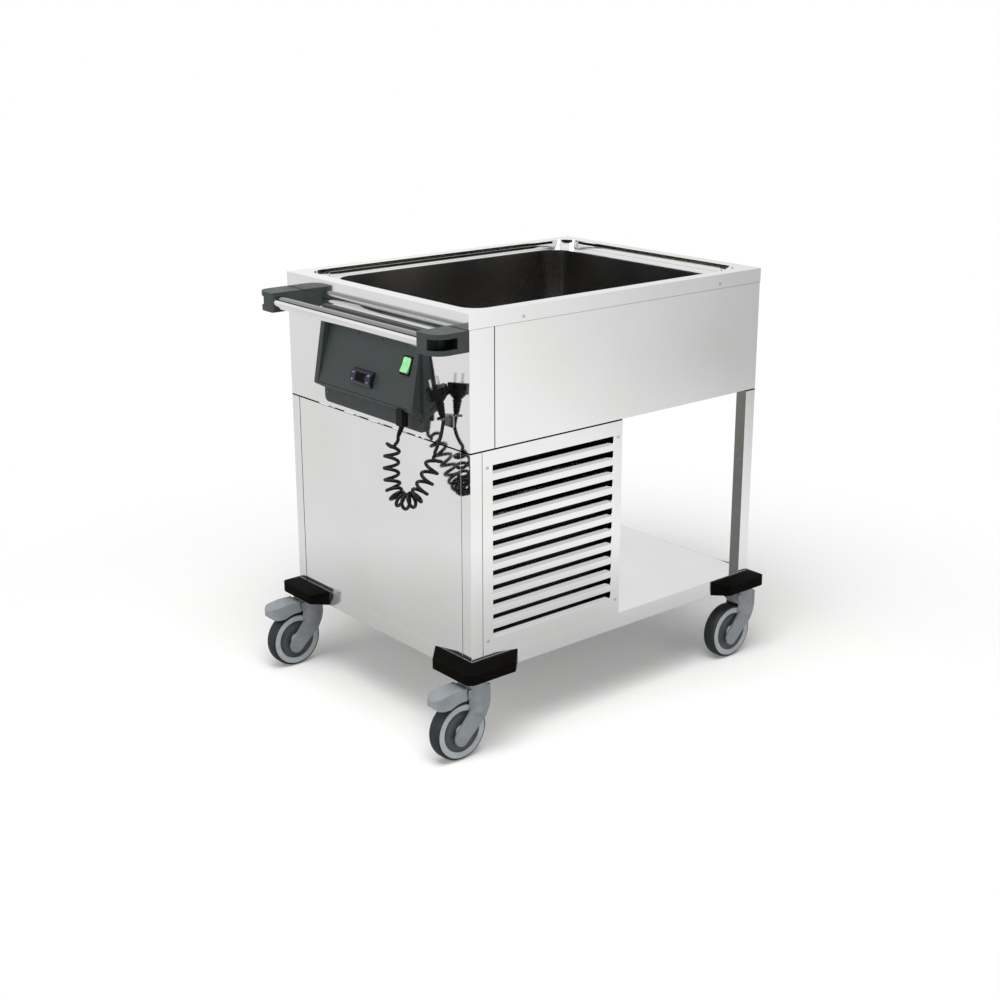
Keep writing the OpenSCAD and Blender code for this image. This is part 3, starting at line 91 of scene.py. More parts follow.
SLEEVE_TOP = Vector((-437.75, -139.5, 656))
lead_top = SLEEVE_TOP + 21 * SLEEVE_DIR
lead_route = [lead_top, lead_top + 3 * SLEEVE_DIR, curl_route[1] - 3 * curl_dir, curl_route[1]]
tail_route = [CORNER + Vector(p) for p in [
    (-34, -72, -277), (-33.5, -71.8, -273.5), (-28.5, -71.2, -266), (-22, -70.8, -253.5),
    (-17.5, -71, -241), (-15, -71.5, -230)]] + [PLUG_AT - 7 * PLUG_DIR, PLUG_AT]


def spline_point(points, t):
    """A smooth curve through the points, the same that the solids follow."""
    i = min(int(t), len(points) - 2)
    f = t - i
    a, b, c = points[max(i - 1, 0)], points[i], points[i + 1]
    d = points[min(i + 2, len(points) - 1)]
    return 0.5 * (2 * b + (c - a) * f + (2 * a - 5 * b + 4 * c - d) * f * f
                  + (3 * b - a - 3 * c + d) * f ** 3)


def curl_point(t):
    """A point of the curls at the route's point t, where the first and last curl ease in."""
    ahead = spline_point(curl_route, min(t + 0.02, spans))
    along = (ahead - spline_point(curl_route, max(t - 0.02, 0))).normalized()
    side = along.cross(Vector((1, 0, 0))).normalized()
    out = along.cross(side)
    ramp = max(0, min(1, min(t - CURL_FIRST, spans - CURL_LAST - t) / CURL_EASE))
    turn = CURL_START + CURL_TURN * (t - 2)
    reach = CURL_R * ramp * ramp * (3 - 2 * ramp)
    return spline_point(curl_route, t) + reach * (math.cos(turn) * side + math.sin(turn) * out)


cord_points = [spline_point(lead_route, t)
               for t in np.arange(0, len(lead_route) - 1, 0.25).tolist()]
cord_points += [curl_point(1 + i / POINTS_PER_SPAN) for i in range((spans - 1) * POINTS_PER_SPAN)]
cord_points += [spline_point(tail_route, t)
                for t in np.arange(0, len(tail_route) - 0.99, 0.25).tolist()]
cord_points = [at_body(p) for p in cord_points]


def add(tree, kind, settings=None, inputs=None):
    """Adds a node to a tree, with its settings and with its inputs linked or set."""
    made = tree.nodes.new(kind)
    for name, value in (settings or {}).items():
        setattr(made, name, value)
    for name, value in (inputs or {}).items():
        if isinstance(value, bpy.types.NodeSocket):
            tree.links.new(value, made.inputs[name])
        else:
            made.inputs[name].default_value = value
    return made


def linear(code):
    """An sRGB hex colour as linear red, green, blue and alpha."""
    parts = [int(code[i:i + 2], 16) / 255 for i in (1, 3, 5)]
    return [c / 12.92 if c <= 0.04045 else ((c + 0.055) / 1.055) ** 2.4 for c in parts] + [1]


def new_material(name):
    """An empty material with its output and its shader, and the places on the object in metres."""
    made = bpy.data.materials.new(name)
    made.use_nodes = True
    tree = made.node_tree
    tree.nodes.clear()
    out = add(tree, "ShaderNodeOutputMaterial")
    shader = add(tree, "ShaderNodeBsdfPrincipled")
    tree.links.new(shader.outputs["BSDF"], out.inputs["Surface"])
    return made, tree, shader, add(tree, "ShaderNodeTexCoord").outputs["Object"]


def mottle(tree, place, shader, dark, light, size_mm, detail=3):
    """Colour that drifts between two near tones over patches of a real size."""
    noise = add(tree, "ShaderNodeTexNoise", None,
                {"Vector": place, "Scale": 1000 / size_mm, "Detail": detail})
    ramp = add(tree, "ShaderNodeValToRGB", None, {"Fac": noise.outputs["Fac"]})
    ramp.color_ramp.elements[0].position = 0.3
    ramp.color_ramp.elements[0].color = linear(dark)
    ramp.color_ramp.elements[1].position = 0.7
    ramp.color_ramp.elements[1].color = linear(light)
    tree.links.new(ramp.outputs["Color"], shader.inputs["Base Color"])
    return noise.outputs["Fac"]


def grain(tree, place, shader, size_mm, depth_mm, strength):
    """A fine moulded or cast grain, as a bump. A real grain is finer and would not show."""
    noise = add(tree, "ShaderNodeTexNoise", None,
                {"Vector": place, "Scale": 1000 / size_mm, "Detail": 2})
    bump = add(tree, "ShaderNodeBump", None,
               {"Height": noise.outputs["Fac"], "Distance": depth_mm / 1000, "Strength": strength})
    tree.links.new(bump.outputs["Normal"], shader.inputs["Normal"])


def vary_roughness(tree, shader, fac, low, high):
    """Roughness that runs from low to high with a pattern."""
    spread = add(tree, "ShaderNodeMapRange", None,
                 {"Value": fac, "From Min": 0.3, "From Max": 0.7, "To Min": low, "To Max": high})
    tree.links.new(spread.outputs["Result"], shader.inputs["Roughness"])


# Extruded rubber has a soft, even sheen that its dust breaks up a little.
cord_rubber, tree, shader, place = new_material("extruded_black_rubber")
patches = mottle(tree, place, shader, "#070808", "#0e0f0f", 12)
vary_roughness(tree, shader, patches, 0.34, 0.46)
shader.inputs["Specular IOR Level"].default_value = 0.2
grain(tree, place, shader, 0.6, 0.03, 0.4)

cord_curve = bpy.data.curves.new("mains_lead", "CURVE")
cord_curve.dimensions = "3D"
cord_curve.bevel_depth = CORD_R
cord_curve.bevel_resolution = 3
cord_curve.use_fill_caps = True
line = cord_curve.splines.new("POLY")
line.points.add(len(cord_points) - 1)
for target, point in zip(line.points, cord_points):
    target.co = (*point, 1)
cord_curve.materials.append(cord_rubber)
cord = bpy.data.objects.new("mains_lead", cord_curve)
scene.collection.objects.link(cord)
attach(cord, "cart")
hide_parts("cord_lead", "cord_curls", "cord_tail")

# ---- Steel body ----
# Folded sheets of stainless steel, 1.5 mm thick: the upper body's four sides, the posts, the base
# with its deck, and the panels of the bay. The sheets are ground to a fine, nearly mirror finish.
SHARP = math.radians(35)


def soften(name, width_mm, segments=2):
    """Rounds the edges of a part as its bending or moulding does, and shades it smoothly."""
    part = nodes[name]
    for attribute in ("custom_normal", "sharp_face", "sharp_edge"):
        if attribute in part.data.attributes:
            part.data.attributes.remove(part.data.attributes[attribute])
    part.data.shade_smooth()
    weld = part.modifiers.new("weld", "WELD")
    weld.merge_threshold = 0.00001
    if width_mm:
        bevel = part.modifiers.new("edge", "BEVEL")
        bevel.width = width_mm / 1000
        bevel.segments = segments
        bevel.limit_method = "ANGLE"
        bevel.angle_limit = SHARP
        bevel.harden_normals = False
    normals = part.modifiers.new("normals", "WEIGHTED_NORMAL")
    normals.keep_sharp = True


def paint(name, material):
    """Gives a part its finish."""
    part = nodes[name]
    part.data.materials.clear()
    part.data.materials.append(material)


def steel(name, dark, light, rough_low, rough_high, brush):
    """Stainless steel ground along the sheet: long fine lines, and faint cloudy patches."""
    made, tree, shader, place = new_material(name)
    shader.inputs["Metallic"].default_value = 1
    patches = mottle(tree, place, shader, dark, light, 260, 2)
    vary_roughness(tree, shader, patches, rough_low, rough_high)
    # The lines are 0.7 mm apart. Real grinding lines are finer and would not show.
    upright = add(tree, "ShaderNodeMapping", {"vector_type": "POINT"},
                  {"Vector": place, "Scale": (6, 6, 1400)})
    level = add(tree, "ShaderNodeMapping", {"vector_type": "POINT"},
                {"Vector": place, "Scale": (6, 1400, 6)})
    lines_up = add(tree, "ShaderNodeTexNoise", None,
                   {"Vector": upright.outputs[0], "Scale": 1, "Detail": 3})
    lines_flat = add(tree, "ShaderNodeTexNoise", None,
                     {"Vector": level.outputs[0], "Scale": 1, "Detail": 3})
    facing = add(tree, "ShaderNodeSeparateXYZ", None,
                 {"Vector": add(tree, "ShaderNodeNewGeometry").outputs["Normal"]})
    lift = add(tree, "ShaderNodeMath", {"operation": "ABSOLUTE"}, {0: facing.outputs["Z"]})
    lines = add(tree, "ShaderNodeMix", {"data_type": "FLOAT"},
                {0: lift.outputs[0], 2: lines_up.outputs["Fac"], 3: lines_flat.outputs["Fac"]})
    bump = add(tree, "ShaderNodeBump", None,
               {"Height": lines.outputs[0], "Distance": 0.00002, "Strength": brush})
    tree.links.new(bump.outputs["Normal"], shader.inputs["Normal"])
    return made, tree, shader, place


def inside(tree, place, low, high):
    """1 where a place lies in a box, given in mm from the middle of the body, and 0 elsewhere."""
    parts = add(tree, "ShaderNodeSeparateXYZ", None, {"Vector": place})
    low, high = at_body(low), at_body(high)
    found = None
    for axis, a, b in zip("XYZ", low, high):
        step = add(tree, "ShaderNodeMath", {"operation": "COMPARE"},
                   {0: parts.outputs[axis], 1: (a + b) / 2, 2: (b - a) / 2}).outputs[0]
        found = step if found is None else add(
            tree, "ShaderNodeMath", {"operation": "MULTIPLY"}, {0: found, 1: step}).outputs[0]
    return found


def shade(tree, shader, spots, colour):
    """A second colour, painted shade or a painted reflection, on the places where a mask is 1."""
    ground = shader.inputs["Base Color"].links[0].from_socket
    mixed = add(tree, "ShaderNodeMix", {"data_type": "RGBA"},
                {0: spots, 6: ground, 7: linear(colour)})
    tree.links.new(mixed.outputs[2], shader.inputs["Base Color"])


# The gaps between the sheets are painted dark as painted shade, and so is the bay's inside. A
# fainter line of painted shade runs below the rim's skirt. The wall beside the shelf is duller
# than the rest, and painted greyer as painted shade.
PAINTED_SHADE_BLACK = "#0b0b0b"
sheet_steel, tree, shader, place = steel(
    "ground_stainless_sheet", "#ebebea", "#f1f1f1", 0.05, 0.09, 0.03)
painted_shade_places = inside(tree, place, (-404.2, -300, 201.3), (-4.4, 300, 640))
# A thin line of painted shade under the rim's skirt.
painted_shade_below_rim = inside(tree, place, (-410, -314, 868.9), (410, 314, 870.1))
shade(tree, shader, painted_shade_below_rim, "#777775")
gap_below_body = ((-410, -314, 628), (410, 314, 631.3))
seams_of_end_cap = [
    ((-346, -314, 631), (-343.8, -305, 870)), ((-346, 305, 631), (-343.8, 314, 870))]
seams_of_end_panel = [
    ((-407, -285.1, 199), (-395, -283.7, 628)), ((-407, 283.7, 199), (-395, 285.1, 628))]
# The gaps and the bay's inside are painted near black, as painted shade.
for low, high in [gap_below_body] + seams_of_end_cap + seams_of_end_panel:
    in_gap = inside(tree, place, low, high)
    painted_shade_places = add(tree, "ShaderNodeMath", {"operation": "MAXIMUM"},
                      {0: painted_shade_places, 1: in_gap}).outputs[0]
shade(tree, shader, painted_shade_places, PAINTED_SHADE_BLACK)
for name in ("front_fascia", "rear_fascia", "handle_end_fascia", "far_end_fascia", "upper_floor",
             "corner_posts", "base_tray", "lower_end_panel", "front_grille", "rear_grille"):
    paint(name, sheet_steel)
    soften(name, 0.4)
# The wall beside the shelf is painted a darker grey than the other sheets, as painted shade of the
# enclosed shelf. Its bay side is painted near black as painted shade.
shaded_partition_steel, tree, shader, place = steel(
    "dull_steel_partition_painted_shade", "#7f807c", "#8c8d89", 0.2, 0.3, 0.1)
shade(tree, shader, inside(tree, place, (-403, -300, 201.3), (-4.4, 300, 640)), PAINTED_SHADE_BLACK)
paint("bay_partition", shaded_partition_steel)
soften("bay_partition", 0.4)

# ---- Rim and well ----
# The rim is one pressed steel frame with a sunk ledge and air slots. The well is deep drawn and
# its inside stays dark: its walls only see each other, and its steel is painted darker as shade.
rim_steel = steel("pressed_stainless_rim", "#ececeb", "#f2f2f2", 0.06, 0.1, 0.03)[0]
for name in ("top_rim", "air_strips"):
    paint(name, rim_steel)
    soften(name, 0.4)
# The well's steel is painted a much darker tone than the rim's, as painted shade.
shaded_well_steel = steel("deep_drawn_stainless_painted_shade", "#8f8e8c", "#9b9a97", 0.16, 0.26, 0.1)[0]
paint("well_tub", shaded_well_steel)
soften("well_tub", 0.4)

# ---- Inner parts ----
# Rigid foam round the well, pipes in black foam hose, and the cooling machine in its bay. They show
# only as dark shapes behind the louvres. The foam behind the end cap's seams is dark with shade.
foam, tree, shader, place = new_material("rigid_foam")
patches = mottle(tree, place, shader, "#d8caa0", "#e6dcb8", 8)
vary_roughness(tree, shader, patches, 0.8, 0.95)
grain(tree, place, shader, 1.5, 0.3, 0.6)
SEAM_Y = 310
for side in (-1, 1):
    behind_seam = inside(tree, place, (-348, side * SEAM_Y - 6, 630),
                         (-341, side * SEAM_Y + 6, 872))
    shade(tree, shader, behind_seam, "#141312")
paint("insulation", foam)
hose_foam, tree, shader, place = new_material("black_pipe_insulation")
patches = mottle(tree, place, shader, "#0c0c0c", "#131312", 8)
vary_roughness(tree, shader, patches, 0.85, 0.95)
grain(tree, place, shader, 1.2, 0.2, 0.6)
paint("refrigerant_tubing", hose_foam)
machine_paint, tree, shader, place = new_material("black_enamelled_steel")
patches = mottle(tree, place, shader, "#0d0e0e", "#151616", 30)
vary_roughness(tree, shader, patches, 0.3, 0.45)
grain(tree, place, shader, 1.2, 0.05, 0.4)
paint("compressor", machine_paint)
paint("condenser_fan", machine_paint)
# The condenser's aluminium fins are painted near black, as painted shade inside the closed bay.
fins, tree, shader, place = new_material("aluminium_fins_painted_shade")
shader.inputs["Metallic"].default_value = 0.3
patches = mottle(tree, place, shader, "#0f1010", "#191a1a", 30)
vary_roughness(tree, shader, patches, 0.35, 0.5)
fin_lines = add(tree, "ShaderNodeTexWave", {"wave_type": "BANDS", "bands_direction": "X"},
                {"Vector": place, "Scale": 100})
fin_bump = add(tree, "ShaderNodeBump", None,
               {"Height": fin_lines.outputs["Fac"], "Distance": 0.001, "Strength": 0.8})
tree.links.new(fin_bump.outputs["Normal"], shader.inputs["Normal"])
paint("condenser", fins)
pipe_plastic, tree, shader, place = new_material("moulded_pale_polypropylene")
patches = mottle(tree, place, shader, "#c4bfa9", "#d2ceba", 15)
vary_roughness(tree, shader, patches, 0.4, 0.55)
paint("drain_pipe", pipe_plastic)
lever_plastic, tree, shader, place = new_material("moulded_red_nylon")
patches = mottle(tree, place, shader, "#b23226", "#c4402f", 15)
vary_roughness(tree, shader, patches, 0.4, 0.55)
paint("drain_lever", lever_plastic)
for name in ("compressor", "condenser_fan", "condenser", "drain_pipe", "drain_lever",
             "insulation", "refrigerant_tubing"):
    soften(name, 0)

# ---- Screws and other small steel ----
# Pan head screws of plain steel, the plug's pins, the wheel axles, and the bent plate that the
# plug is parked in. That plate, the pins and the housing's two screws are painted darker than the
# rest, as painted shade below the housing.
plain_steel, tree, shader, place = new_material("turned_stainless")
shader.inputs["Metallic"].default_value = 1
patches = mottle(tree, place, shader, "#b4b4b0", "#c8c8c5", 6)
vary_roughness(tree, shader, patches, 0.2, 0.34)
# Painted shade on the steel below the control housing.
painted_shade_below_housing = inside(tree, place, (-450, -313, 600), (-406.2, 313, 745))
shade(tree, shader, painted_shade_below_housing, "#5c5c5b")
for name in ("panel_screws", "plug_pins", "plug_holder",
             "wheel_axle_1", "wheel_axle_2", "wheel_axle_3", "wheel_axle_4"):
    paint(name, plain_steel)
    soften(name, 0.3)

# ---- Control housing and handle brackets ----
# Moulded in slate grey ABS with a fine spark-eroded grain that gives a satin, slightly pale sheen
# where the light grazes it. The pockets in the brackets' sides are black with shade.
TUBE_Z = 848.5
slate_abs, tree, shader, place = new_material("grained_slate_abs")
patches = mottle(tree, place, shader, "#2f3636", "#373d3c", 40)
vary_roughness(tree, shader, patches, 0.42, 0.55)
shader.inputs["Specular IOR Level"].default_value = 0.3
grain(tree, place, shader, 0.9, 0.05, 0.5)
BEND_AT = (-454, 283, 0)
POCKET_R = 28.6
POCKET_HALF_H = 10.7
POCKET_Y = 299
POCKET_HALF_W = 12.7
POCKET_BLACK = "#020202"
parts = add(tree, "ShaderNodeSeparateXYZ", None, {"Vector": place})
across = add(tree, "ShaderNodeMath", {"operation": "ABSOLUTE"}, {0: parts.outputs["Y"]})
plan = add(tree, "ShaderNodeCombineXYZ", None, {"X": parts.outputs["X"], "Y": across.outputs[0]})
reach = add(tree, "ShaderNodeVectorMath", {"operation": "DISTANCE"},
            {0: plan.outputs[0], 1: tuple(at_body(BEND_AT))})
bend = add(tree, "ShaderNodeMath", {"operation": "LESS_THAN"},
           {0: reach.outputs["Value"], 1: POCKET_R / 1000})
slot = add(tree, "ShaderNodeMath", {"operation": "COMPARE"},
           {0: parts.outputs["Z"], 1: TUBE_Z / 1000, 2: POCKET_HALF_H / 1000})
pocket = add(tree, "ShaderNodeMath", {"operation": "MULTIPLY"},
             {0: bend.outputs[0], 1: slot.outputs[0]})
shade(tree, shader, pocket.outputs[0], POCKET_BLACK)
for side in (-1, 1):
    straight = inside(tree, place,
                      (BEND_AT[0], side * POCKET_Y - POCKET_HALF_W, TUBE_Z - POCKET_HALF_H),
                      (-432.8, side * POCKET_Y + POCKET_HALF_W, TUBE_Z + POCKET_HALF_H))
    shade(tree, shader, straight, POCKET_BLACK)
for name, width in (("control_housing", 1.2), ("control_face", 0.4), ("handle_brackets", 2.0)):
    paint(name, slate_abs)
    soften(name, width, 3)

# ---- Thermostat, keys and rocker ----
# The thermostat has a glossy dark front with a slight violet tint and keys like it. The rocker is
# milky green polycarbonate. Its frame, the lead's block and the plug are black nylon.
dark_gloss, tree, shader, place = new_material("polished_dark_abs")
patches = mottle(tree, place, shader, "#171724", "#202031", 10)
vary_roughness(tree, shader, patches, 0.15, 0.25)
shader.inputs["Specular IOR Level"].default_value = 0.3
paint("thermostat_case", dark_gloss)
soften("thermostat_case", 0.8, 3)
key_plastic, tree, shader, place = new_material("moulded_violet_keys")
patches = mottle(tree, place, shader, "#2c2c4a", "#3a3a5e", 5)
vary_roughness(tree, shader, patches, 0.3, 0.4)
for i in (1, 2, 3, 4):
    paint(f"thermostat_key_{i}", key_plastic)
    soften(f"thermostat_key_{i}", 0.4)

# The display's window is a dark satin pane that stands in the case's recess, and each key has
# a raised white sign, a bar, a ring or an arrow, of a second plastic.
FACE_LOW = Vector((-439.5, 0, 692))
FACE_HIGH = Vector((-398.5, 0, 822))
FACE_UP = (FACE_HIGH - FACE_LOW).normalized()
FACE_IN = Vector((FACE_UP.z, 0, -FACE_UP.x))
THERMO_RISE = 35
THERMO_OUT = 11
BULGE_R = 21.0
KEY_SIDE = 26
KEY_RISE = 7.2


def on_face(side, rise, depth):
    """A point on the slanted face: mm to the side, up the face, and into the housing."""
    return at_body(FACE_LOW + FACE_UP * rise + FACE_IN * depth + Vector((0, side, 0)))


def plate(name, outline, thickness, origin, right, up, material, body, edge=0.0001, hole=None):
    """A flat piece of a drawn outline in mm, with rounded edges, that stands out from origin."""
    toward = right.cross(up)
    mesh = bpy.data.meshes.new(name)
    edit = bmesh.new()
    corners = [edit.verts.new(origin + (right * x + up * y) / 1000) for x, y in outline]
    if hole:
        inner = [edit.verts.new(origin + (right * x + up * y) / 1000) for x, y in hole]
        count = len(outline)
        for i in range(count):
            j = (i + 1) % count
            edit.faces.new((corners[i], corners[j], inner[j], inner[i]))
    else:
        edit.faces.new(corners)
    edit.normal_update()
    if edit.faces[:][0].normal.dot(toward) < 0:
        bmesh.ops.reverse_faces(edit, faces=edit.faces[:])
    raised = bmesh.ops.extrude_face_region(edit, geom=edit.faces[:])["geom"]
    tops = [v for v in raised if isinstance(v, bmesh.types.BMVert)]
    bmesh.ops.translate(edit, verts=tops, vec=toward * thickness / 1000)
    bmesh.ops.recalc_face_normals(edit, faces=edit.faces[:])
    edit.to_mesh(mesh)
    edit.free()
    mesh.materials.append(material)
    made = bpy.data.objects.new(name, mesh)
    scene.collection.objects.link(made)
    bevel = made.modifiers.new("edge", "BEVEL")
    bevel.width = edge
    bevel.segments = 2
    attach(made, body)
    return made


window_pane, tree, shader, place = new_material("smoked_acrylic_window")
patches = mottle(tree, place, shader, "#010101", "#030304", 8)
vary_roughness(tree, shader, patches, 0.2, 0.3)
shader.inputs["Specular IOR Level"].default_value = 0.05
FACE_RIGHT = Vector((0, -1, 0))
window = plate("display_window", [(-16.2, -9.2), (16.2, -9.2), (16.2, 9.2), (-16.2, 9.2)], 1.2,
               on_face(0, THERMO_RISE, -THERMO_OUT + 2.5), FACE_RIGHT, FACE_UP,
               window_pane, "cart", 0.0003)
sign_white, tree, shader, place = new_material("moulded_white_signs")
patches = mottle(tree, place, shader, "#dfe3ee", "#f2f4fa", 3)
vary_roughness(tree, shader, patches, 0.3, 0.4)
RING_R = 1.5
RING_SIDES = 24
ring = [(RING_R * math.cos(a), RING_R * math.sin(a))
        for a in np.linspace(0, 2 * math.pi, RING_SIDES + 1)[:-1].tolist()]
ring_hole = [(x * 0.55, y * 0.55) for x, y in ring]
signs = {
    1: ([(-1.6, -1.1), (1.6, -1.1), (0, 1.5)], None),
    2: ([(-1.6, 1.1), (1.6, 1.1), (0, -1.5)], None),
    3: (ring, ring_hole),
    4: ([(-1.7, -0.5), (1.7, -0.5), (1.7, 0.5), (-1.7, 0.5)], None)}
for i, (outline, hole) in signs.items():
    side = KEY_SIDE if i < 3 else -KEY_SIDE
    rise = KEY_RISE if i in (1, 3) else -KEY_RISE
    lean = math.asin(rise / BULGE_R)
    depth = -THERMO_OUT - 0.6 + BULGE_R * (1 - math.cos(lean)) - 0.02
    up = (FACE_UP * math.cos(lean) + FACE_IN * math.sin(lean)).normalized()
    sign = plate(f"key_sign_{i}", outline, 0.15, on_face(side, THERMO_RISE + rise, depth),
                 FACE_RIGHT, up, sign_white, f"key_{i}", 0.00004, hole)

green, tree, shader, place = new_material("green_polycarbonate")
patches = mottle(tree, place, shader, "#7fdb8e", "#9beba6", 12)
vary_roughness(tree, shader, patches, 0.12, 0.2)
shader.inputs["Subsurface Weight"].default_value = 0.2
shader.inputs["Subsurface Radius"].default_value = (0.004, 0.008, 0.004)
paint("rocker_button", green)
soften("rocker_button", 0.6, 3)
black_abs, tree, shader, place = new_material("moulded_black_nylon")
patches = mottle(tree, place, shader, "#050606", "#0c0d0d", 15)
vary_roughness(tree, shader, patches, 0.3, 0.42)
shader.inputs["Specular IOR Level"].default_value = 0.12
grain(tree, place, shader, 0.8, 0.04, 0.4)
for name, width in (("rocker_frame", 0.5), ("cable_gland", 1.2), ("plug_body", 0.8)):
    paint(name, black_abs)
    soften(name, width, 3)

# ---- Handle tube ----
# A polished stainless tube of 27 mm with one groove along it. It shows sharp reflections.
# The groove's bottom is black with shade, and the band above it is painted darker, as a painted
# reflection of darker surroundings overhead.
TUBE_X = -467
GROOVE_R = 13.1
tube_steel, tree, shader, place = steel(
    "polished_stainless_tube", "#e6e6e4", "#eeeeec", 0.08, 0.12, 0.03)
parts = add(tree, "ShaderNodeSeparateXYZ", None, {"Vector": place})
axis = at_body((TUBE_X, 0, TUBE_Z))
section = add(tree, "ShaderNodeCombineXYZ", None,
              {"X": parts.outputs["X"], "Z": parts.outputs["Z"]})
reach = add(tree, "ShaderNodeVectorMath", {"operation": "DISTANCE"},
            {0: section.outputs[0], 1: (axis.x, 0, axis.z)})
groove = add(tree, "ShaderNodeMath", {"operation": "LESS_THAN"},
             {0: reach.outputs["Value"], 1: GROOVE_R / 1000})
# A painted reflection: the band above the groove is painted a darker grey.
painted_reflection_band = inside(tree, place, (-480, -260, 856.6), (-450, 260, 864))
shade(tree, shader, painted_reflection_band, "#9b9b99")
shade(tree, shader, groove.outputs[0], "#060606")
paint("handle_tube", tube_steel)
soften("handle_tube", 0.2)

# ---- Bumpers ----
# Corner buffers of moulded near-black rubber, with a dull skin and rounded edges. Each is one piece
# that wraps a corner of the base.
bumper_rubber, tree, shader, place = new_material("moulded_buffer_rubber")
patches = mottle(tree, place, shader, "#060605", "#0c0b09", 30)
vary_roughness(tree, shader, patches, 0.4, 0.55)
shader.inputs["Specular IOR Level"].default_value = 0.02
grain(tree, place, shader, 0.9, 0.06, 0.5)
paint("corner_bumpers", bumper_rubber)
soften("corner_bumpers", 2.0, 3)

# ---- Casters ----
# Forks, discs and pedals of light grey glass-filled nylon, wheels with a paler ring and a dark
# grey rubber tread. The tread is duller than the mouldings.
caster_nylon, tree, shader, place = new_material("moulded_grey_nylon")
patches = mottle(tree, place, shader, "#7f8588", "#8e9396", 25)
vary_roughness(tree, shader, patches, 0.4, 0.52)
grain(tree, place, shader, 0.8, 0.05, 0.45)
ring_nylon, tree, shader, place = new_material("moulded_pale_nylon")
patches = mottle(tree, place, shader, "#a0a5a8", "#aeb3b6", 25)
vary_roughness(tree, shader, patches, 0.4, 0.52)
grain(tree, place, shader, 0.8, 0.05, 0.45)
tread_rubber, tree, shader, place = new_material("grey_tread_rubber")
patches = mottle(tree, place, shader, "#131717", "#1c2020", 12)
vary_roughness(tree, shader, patches, 0.55, 0.7)
grain(tree, place, shader, 1.0, 0.08, 0.5)
for i in (1, 2, 3, 4):
    paint(f"caster_fork_{i}", caster_nylon)
    soften(f"caster_fork_{i}", 1.5, 3)
    paint(f"wheel_rim_{i}", ring_nylon)
    soften(f"wheel_rim_{i}", 0.5)
    paint(f"wheel_tread_{i}", tread_rubber)
    soften(f"wheel_tread_{i}", 0.6)
# Each wheel's centre is closed on both sides by a thin dark dished disc, pressed into the ring.
cover_nylon, tree, shader, place = new_material("moulded_dark_nylon_cover")
patches = mottle(tree, place, shader, "#3d4245", "#494e51", 20)
vary_roughness(tree, shader, patches, 0.42, 0.55)
grain(tree, place, shader, 0.8, 0.05, 0.4)
# The disc's outline: radii, and distances from the wheel's middle, in mm.
COVER = [(14.4, 12.4), (30, 12.0), (41.6, 11.6), (42.8, 13.2), (43.8, 15.0)]
COVER_SIDES = 72
CASTER_X = 396
CASTER_Y = 303
TRAIL = 40
WHEEL_R = 62.5
around = np.linspace(0, 2 * math.pi, COVER_SIDES + 1)[:-1].tolist()
for i, (end, side) in enumerate(((-1, -1), (-1, 1), (1, -1), (1, 1)), 1):
    mesh = bpy.data.meshes.new(f"wheel_cover_{i}")
    edit = bmesh.new()
    for face in (-1, 1):
        rings = []
        for radius, rise in COVER:
            rings.append([edit.verts.new(at_body((
                end * CASTER_X - TRAIL + radius * math.cos(a), side * CASTER_Y + face * rise,
                WHEEL_R + radius * math.sin(a)))) for a in around])
        for inner, outer in zip(rings, rings[1:]):
            for k in range(COVER_SIDES):
                after = (k + 1) % COVER_SIDES
                quad = [inner[k], outer[k], outer[after], inner[after]]
                edit.faces.new(quad if face > 0 else quad[::-1])
    bmesh.ops.recalc_face_normals(edit, faces=edit.faces[:])
    edit.to_mesh(mesh)
    edit.free()
    mesh.materials.append(cover_nylon)
    mesh.shade_smooth()
    cover = bpy.data.objects.new(f"wheel_cover_{i}", mesh)
    scene.collection.objects.link(cover)
    skin = cover.modifiers.new("skin", "SOLIDIFY")
    skin.thickness = 0.0008
    skin.offset = -1
    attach(cover, f"wheel_{i}")
for name in ("brake_pedal_1", "brake_pedal_2"):
    paint(name, caster_nylon)
    soften(name, 2.0, 3)
paint("caster_discs", caster_nylon)
soften("caster_discs", 0.6)

# ---- Studio ----
# A plain white floor that keeps the soft shadow, and an even white surround. Wide soft lamps
# stand above and on both sides. Only in the steel's reflections, the floor is painted darker close
# to the cart, as painted shadow, and towards its far end, and the surround is painted darker
# upwards: painted reflections, as if screens stood there.
floor_mesh = bpy.data.meshes.new("studio_floor")
edit = bmesh.new()
bmesh.ops.create_circle(edit, cap_ends=True, segments=64, radius=60)
edit.to_mesh(floor_mesh)
edit.free()
floor = bpy.data.objects.new("studio_floor", floor_mesh)
scene.collection.objects.link(floor)
floor.location.z = -0.0002
floor_paint = bpy.data.materials.new("matt_white_floor")
floor_paint.use_nodes = True
tree = floor_paint.node_tree
tree.nodes.clear()
matt = add(tree, "ShaderNodeBsdfDiffuse", None, {"Color": linear("#f2f2f1"), "Roughness": 0.5})
spot = add(tree, "ShaderNodeNewGeometry").outputs["Position"]
reach = add(tree, "ShaderNodeVectorMath", {"operation": "LENGTH"}, {0: spot})
outward = add(tree, "ShaderNodeVectorMath", {"operation": "NORMALIZE"}, {0: spot})
heading = add(tree, "ShaderNodeSeparateXYZ", None, {"Vector": outward.outputs[0]})
far = add(tree, "ShaderNodeMapRange", {"interpolation_type": "SMOOTHSTEP"},
          {"Value": reach.outputs["Value"], "From Min": 0.8, "From Max": 4.0,
           "To Min": 0.1, "To Max": 0.5})
turned = add(tree, "ShaderNodeMapRange", {"interpolation_type": "SMOOTHSTEP"},
             {"Value": heading.outputs["X"], "From Min": 0.48, "From Max": 0.85,
              "To Min": 0, "To Max": 1})
ahead = add(tree, "ShaderNodeMapRange", {"interpolation_type": "SMOOTHSTEP"},
            {"Value": heading.outputs["Y"], "From Min": -0.4, "From Max": 0,
             "To Min": 1, "To Max": 0})
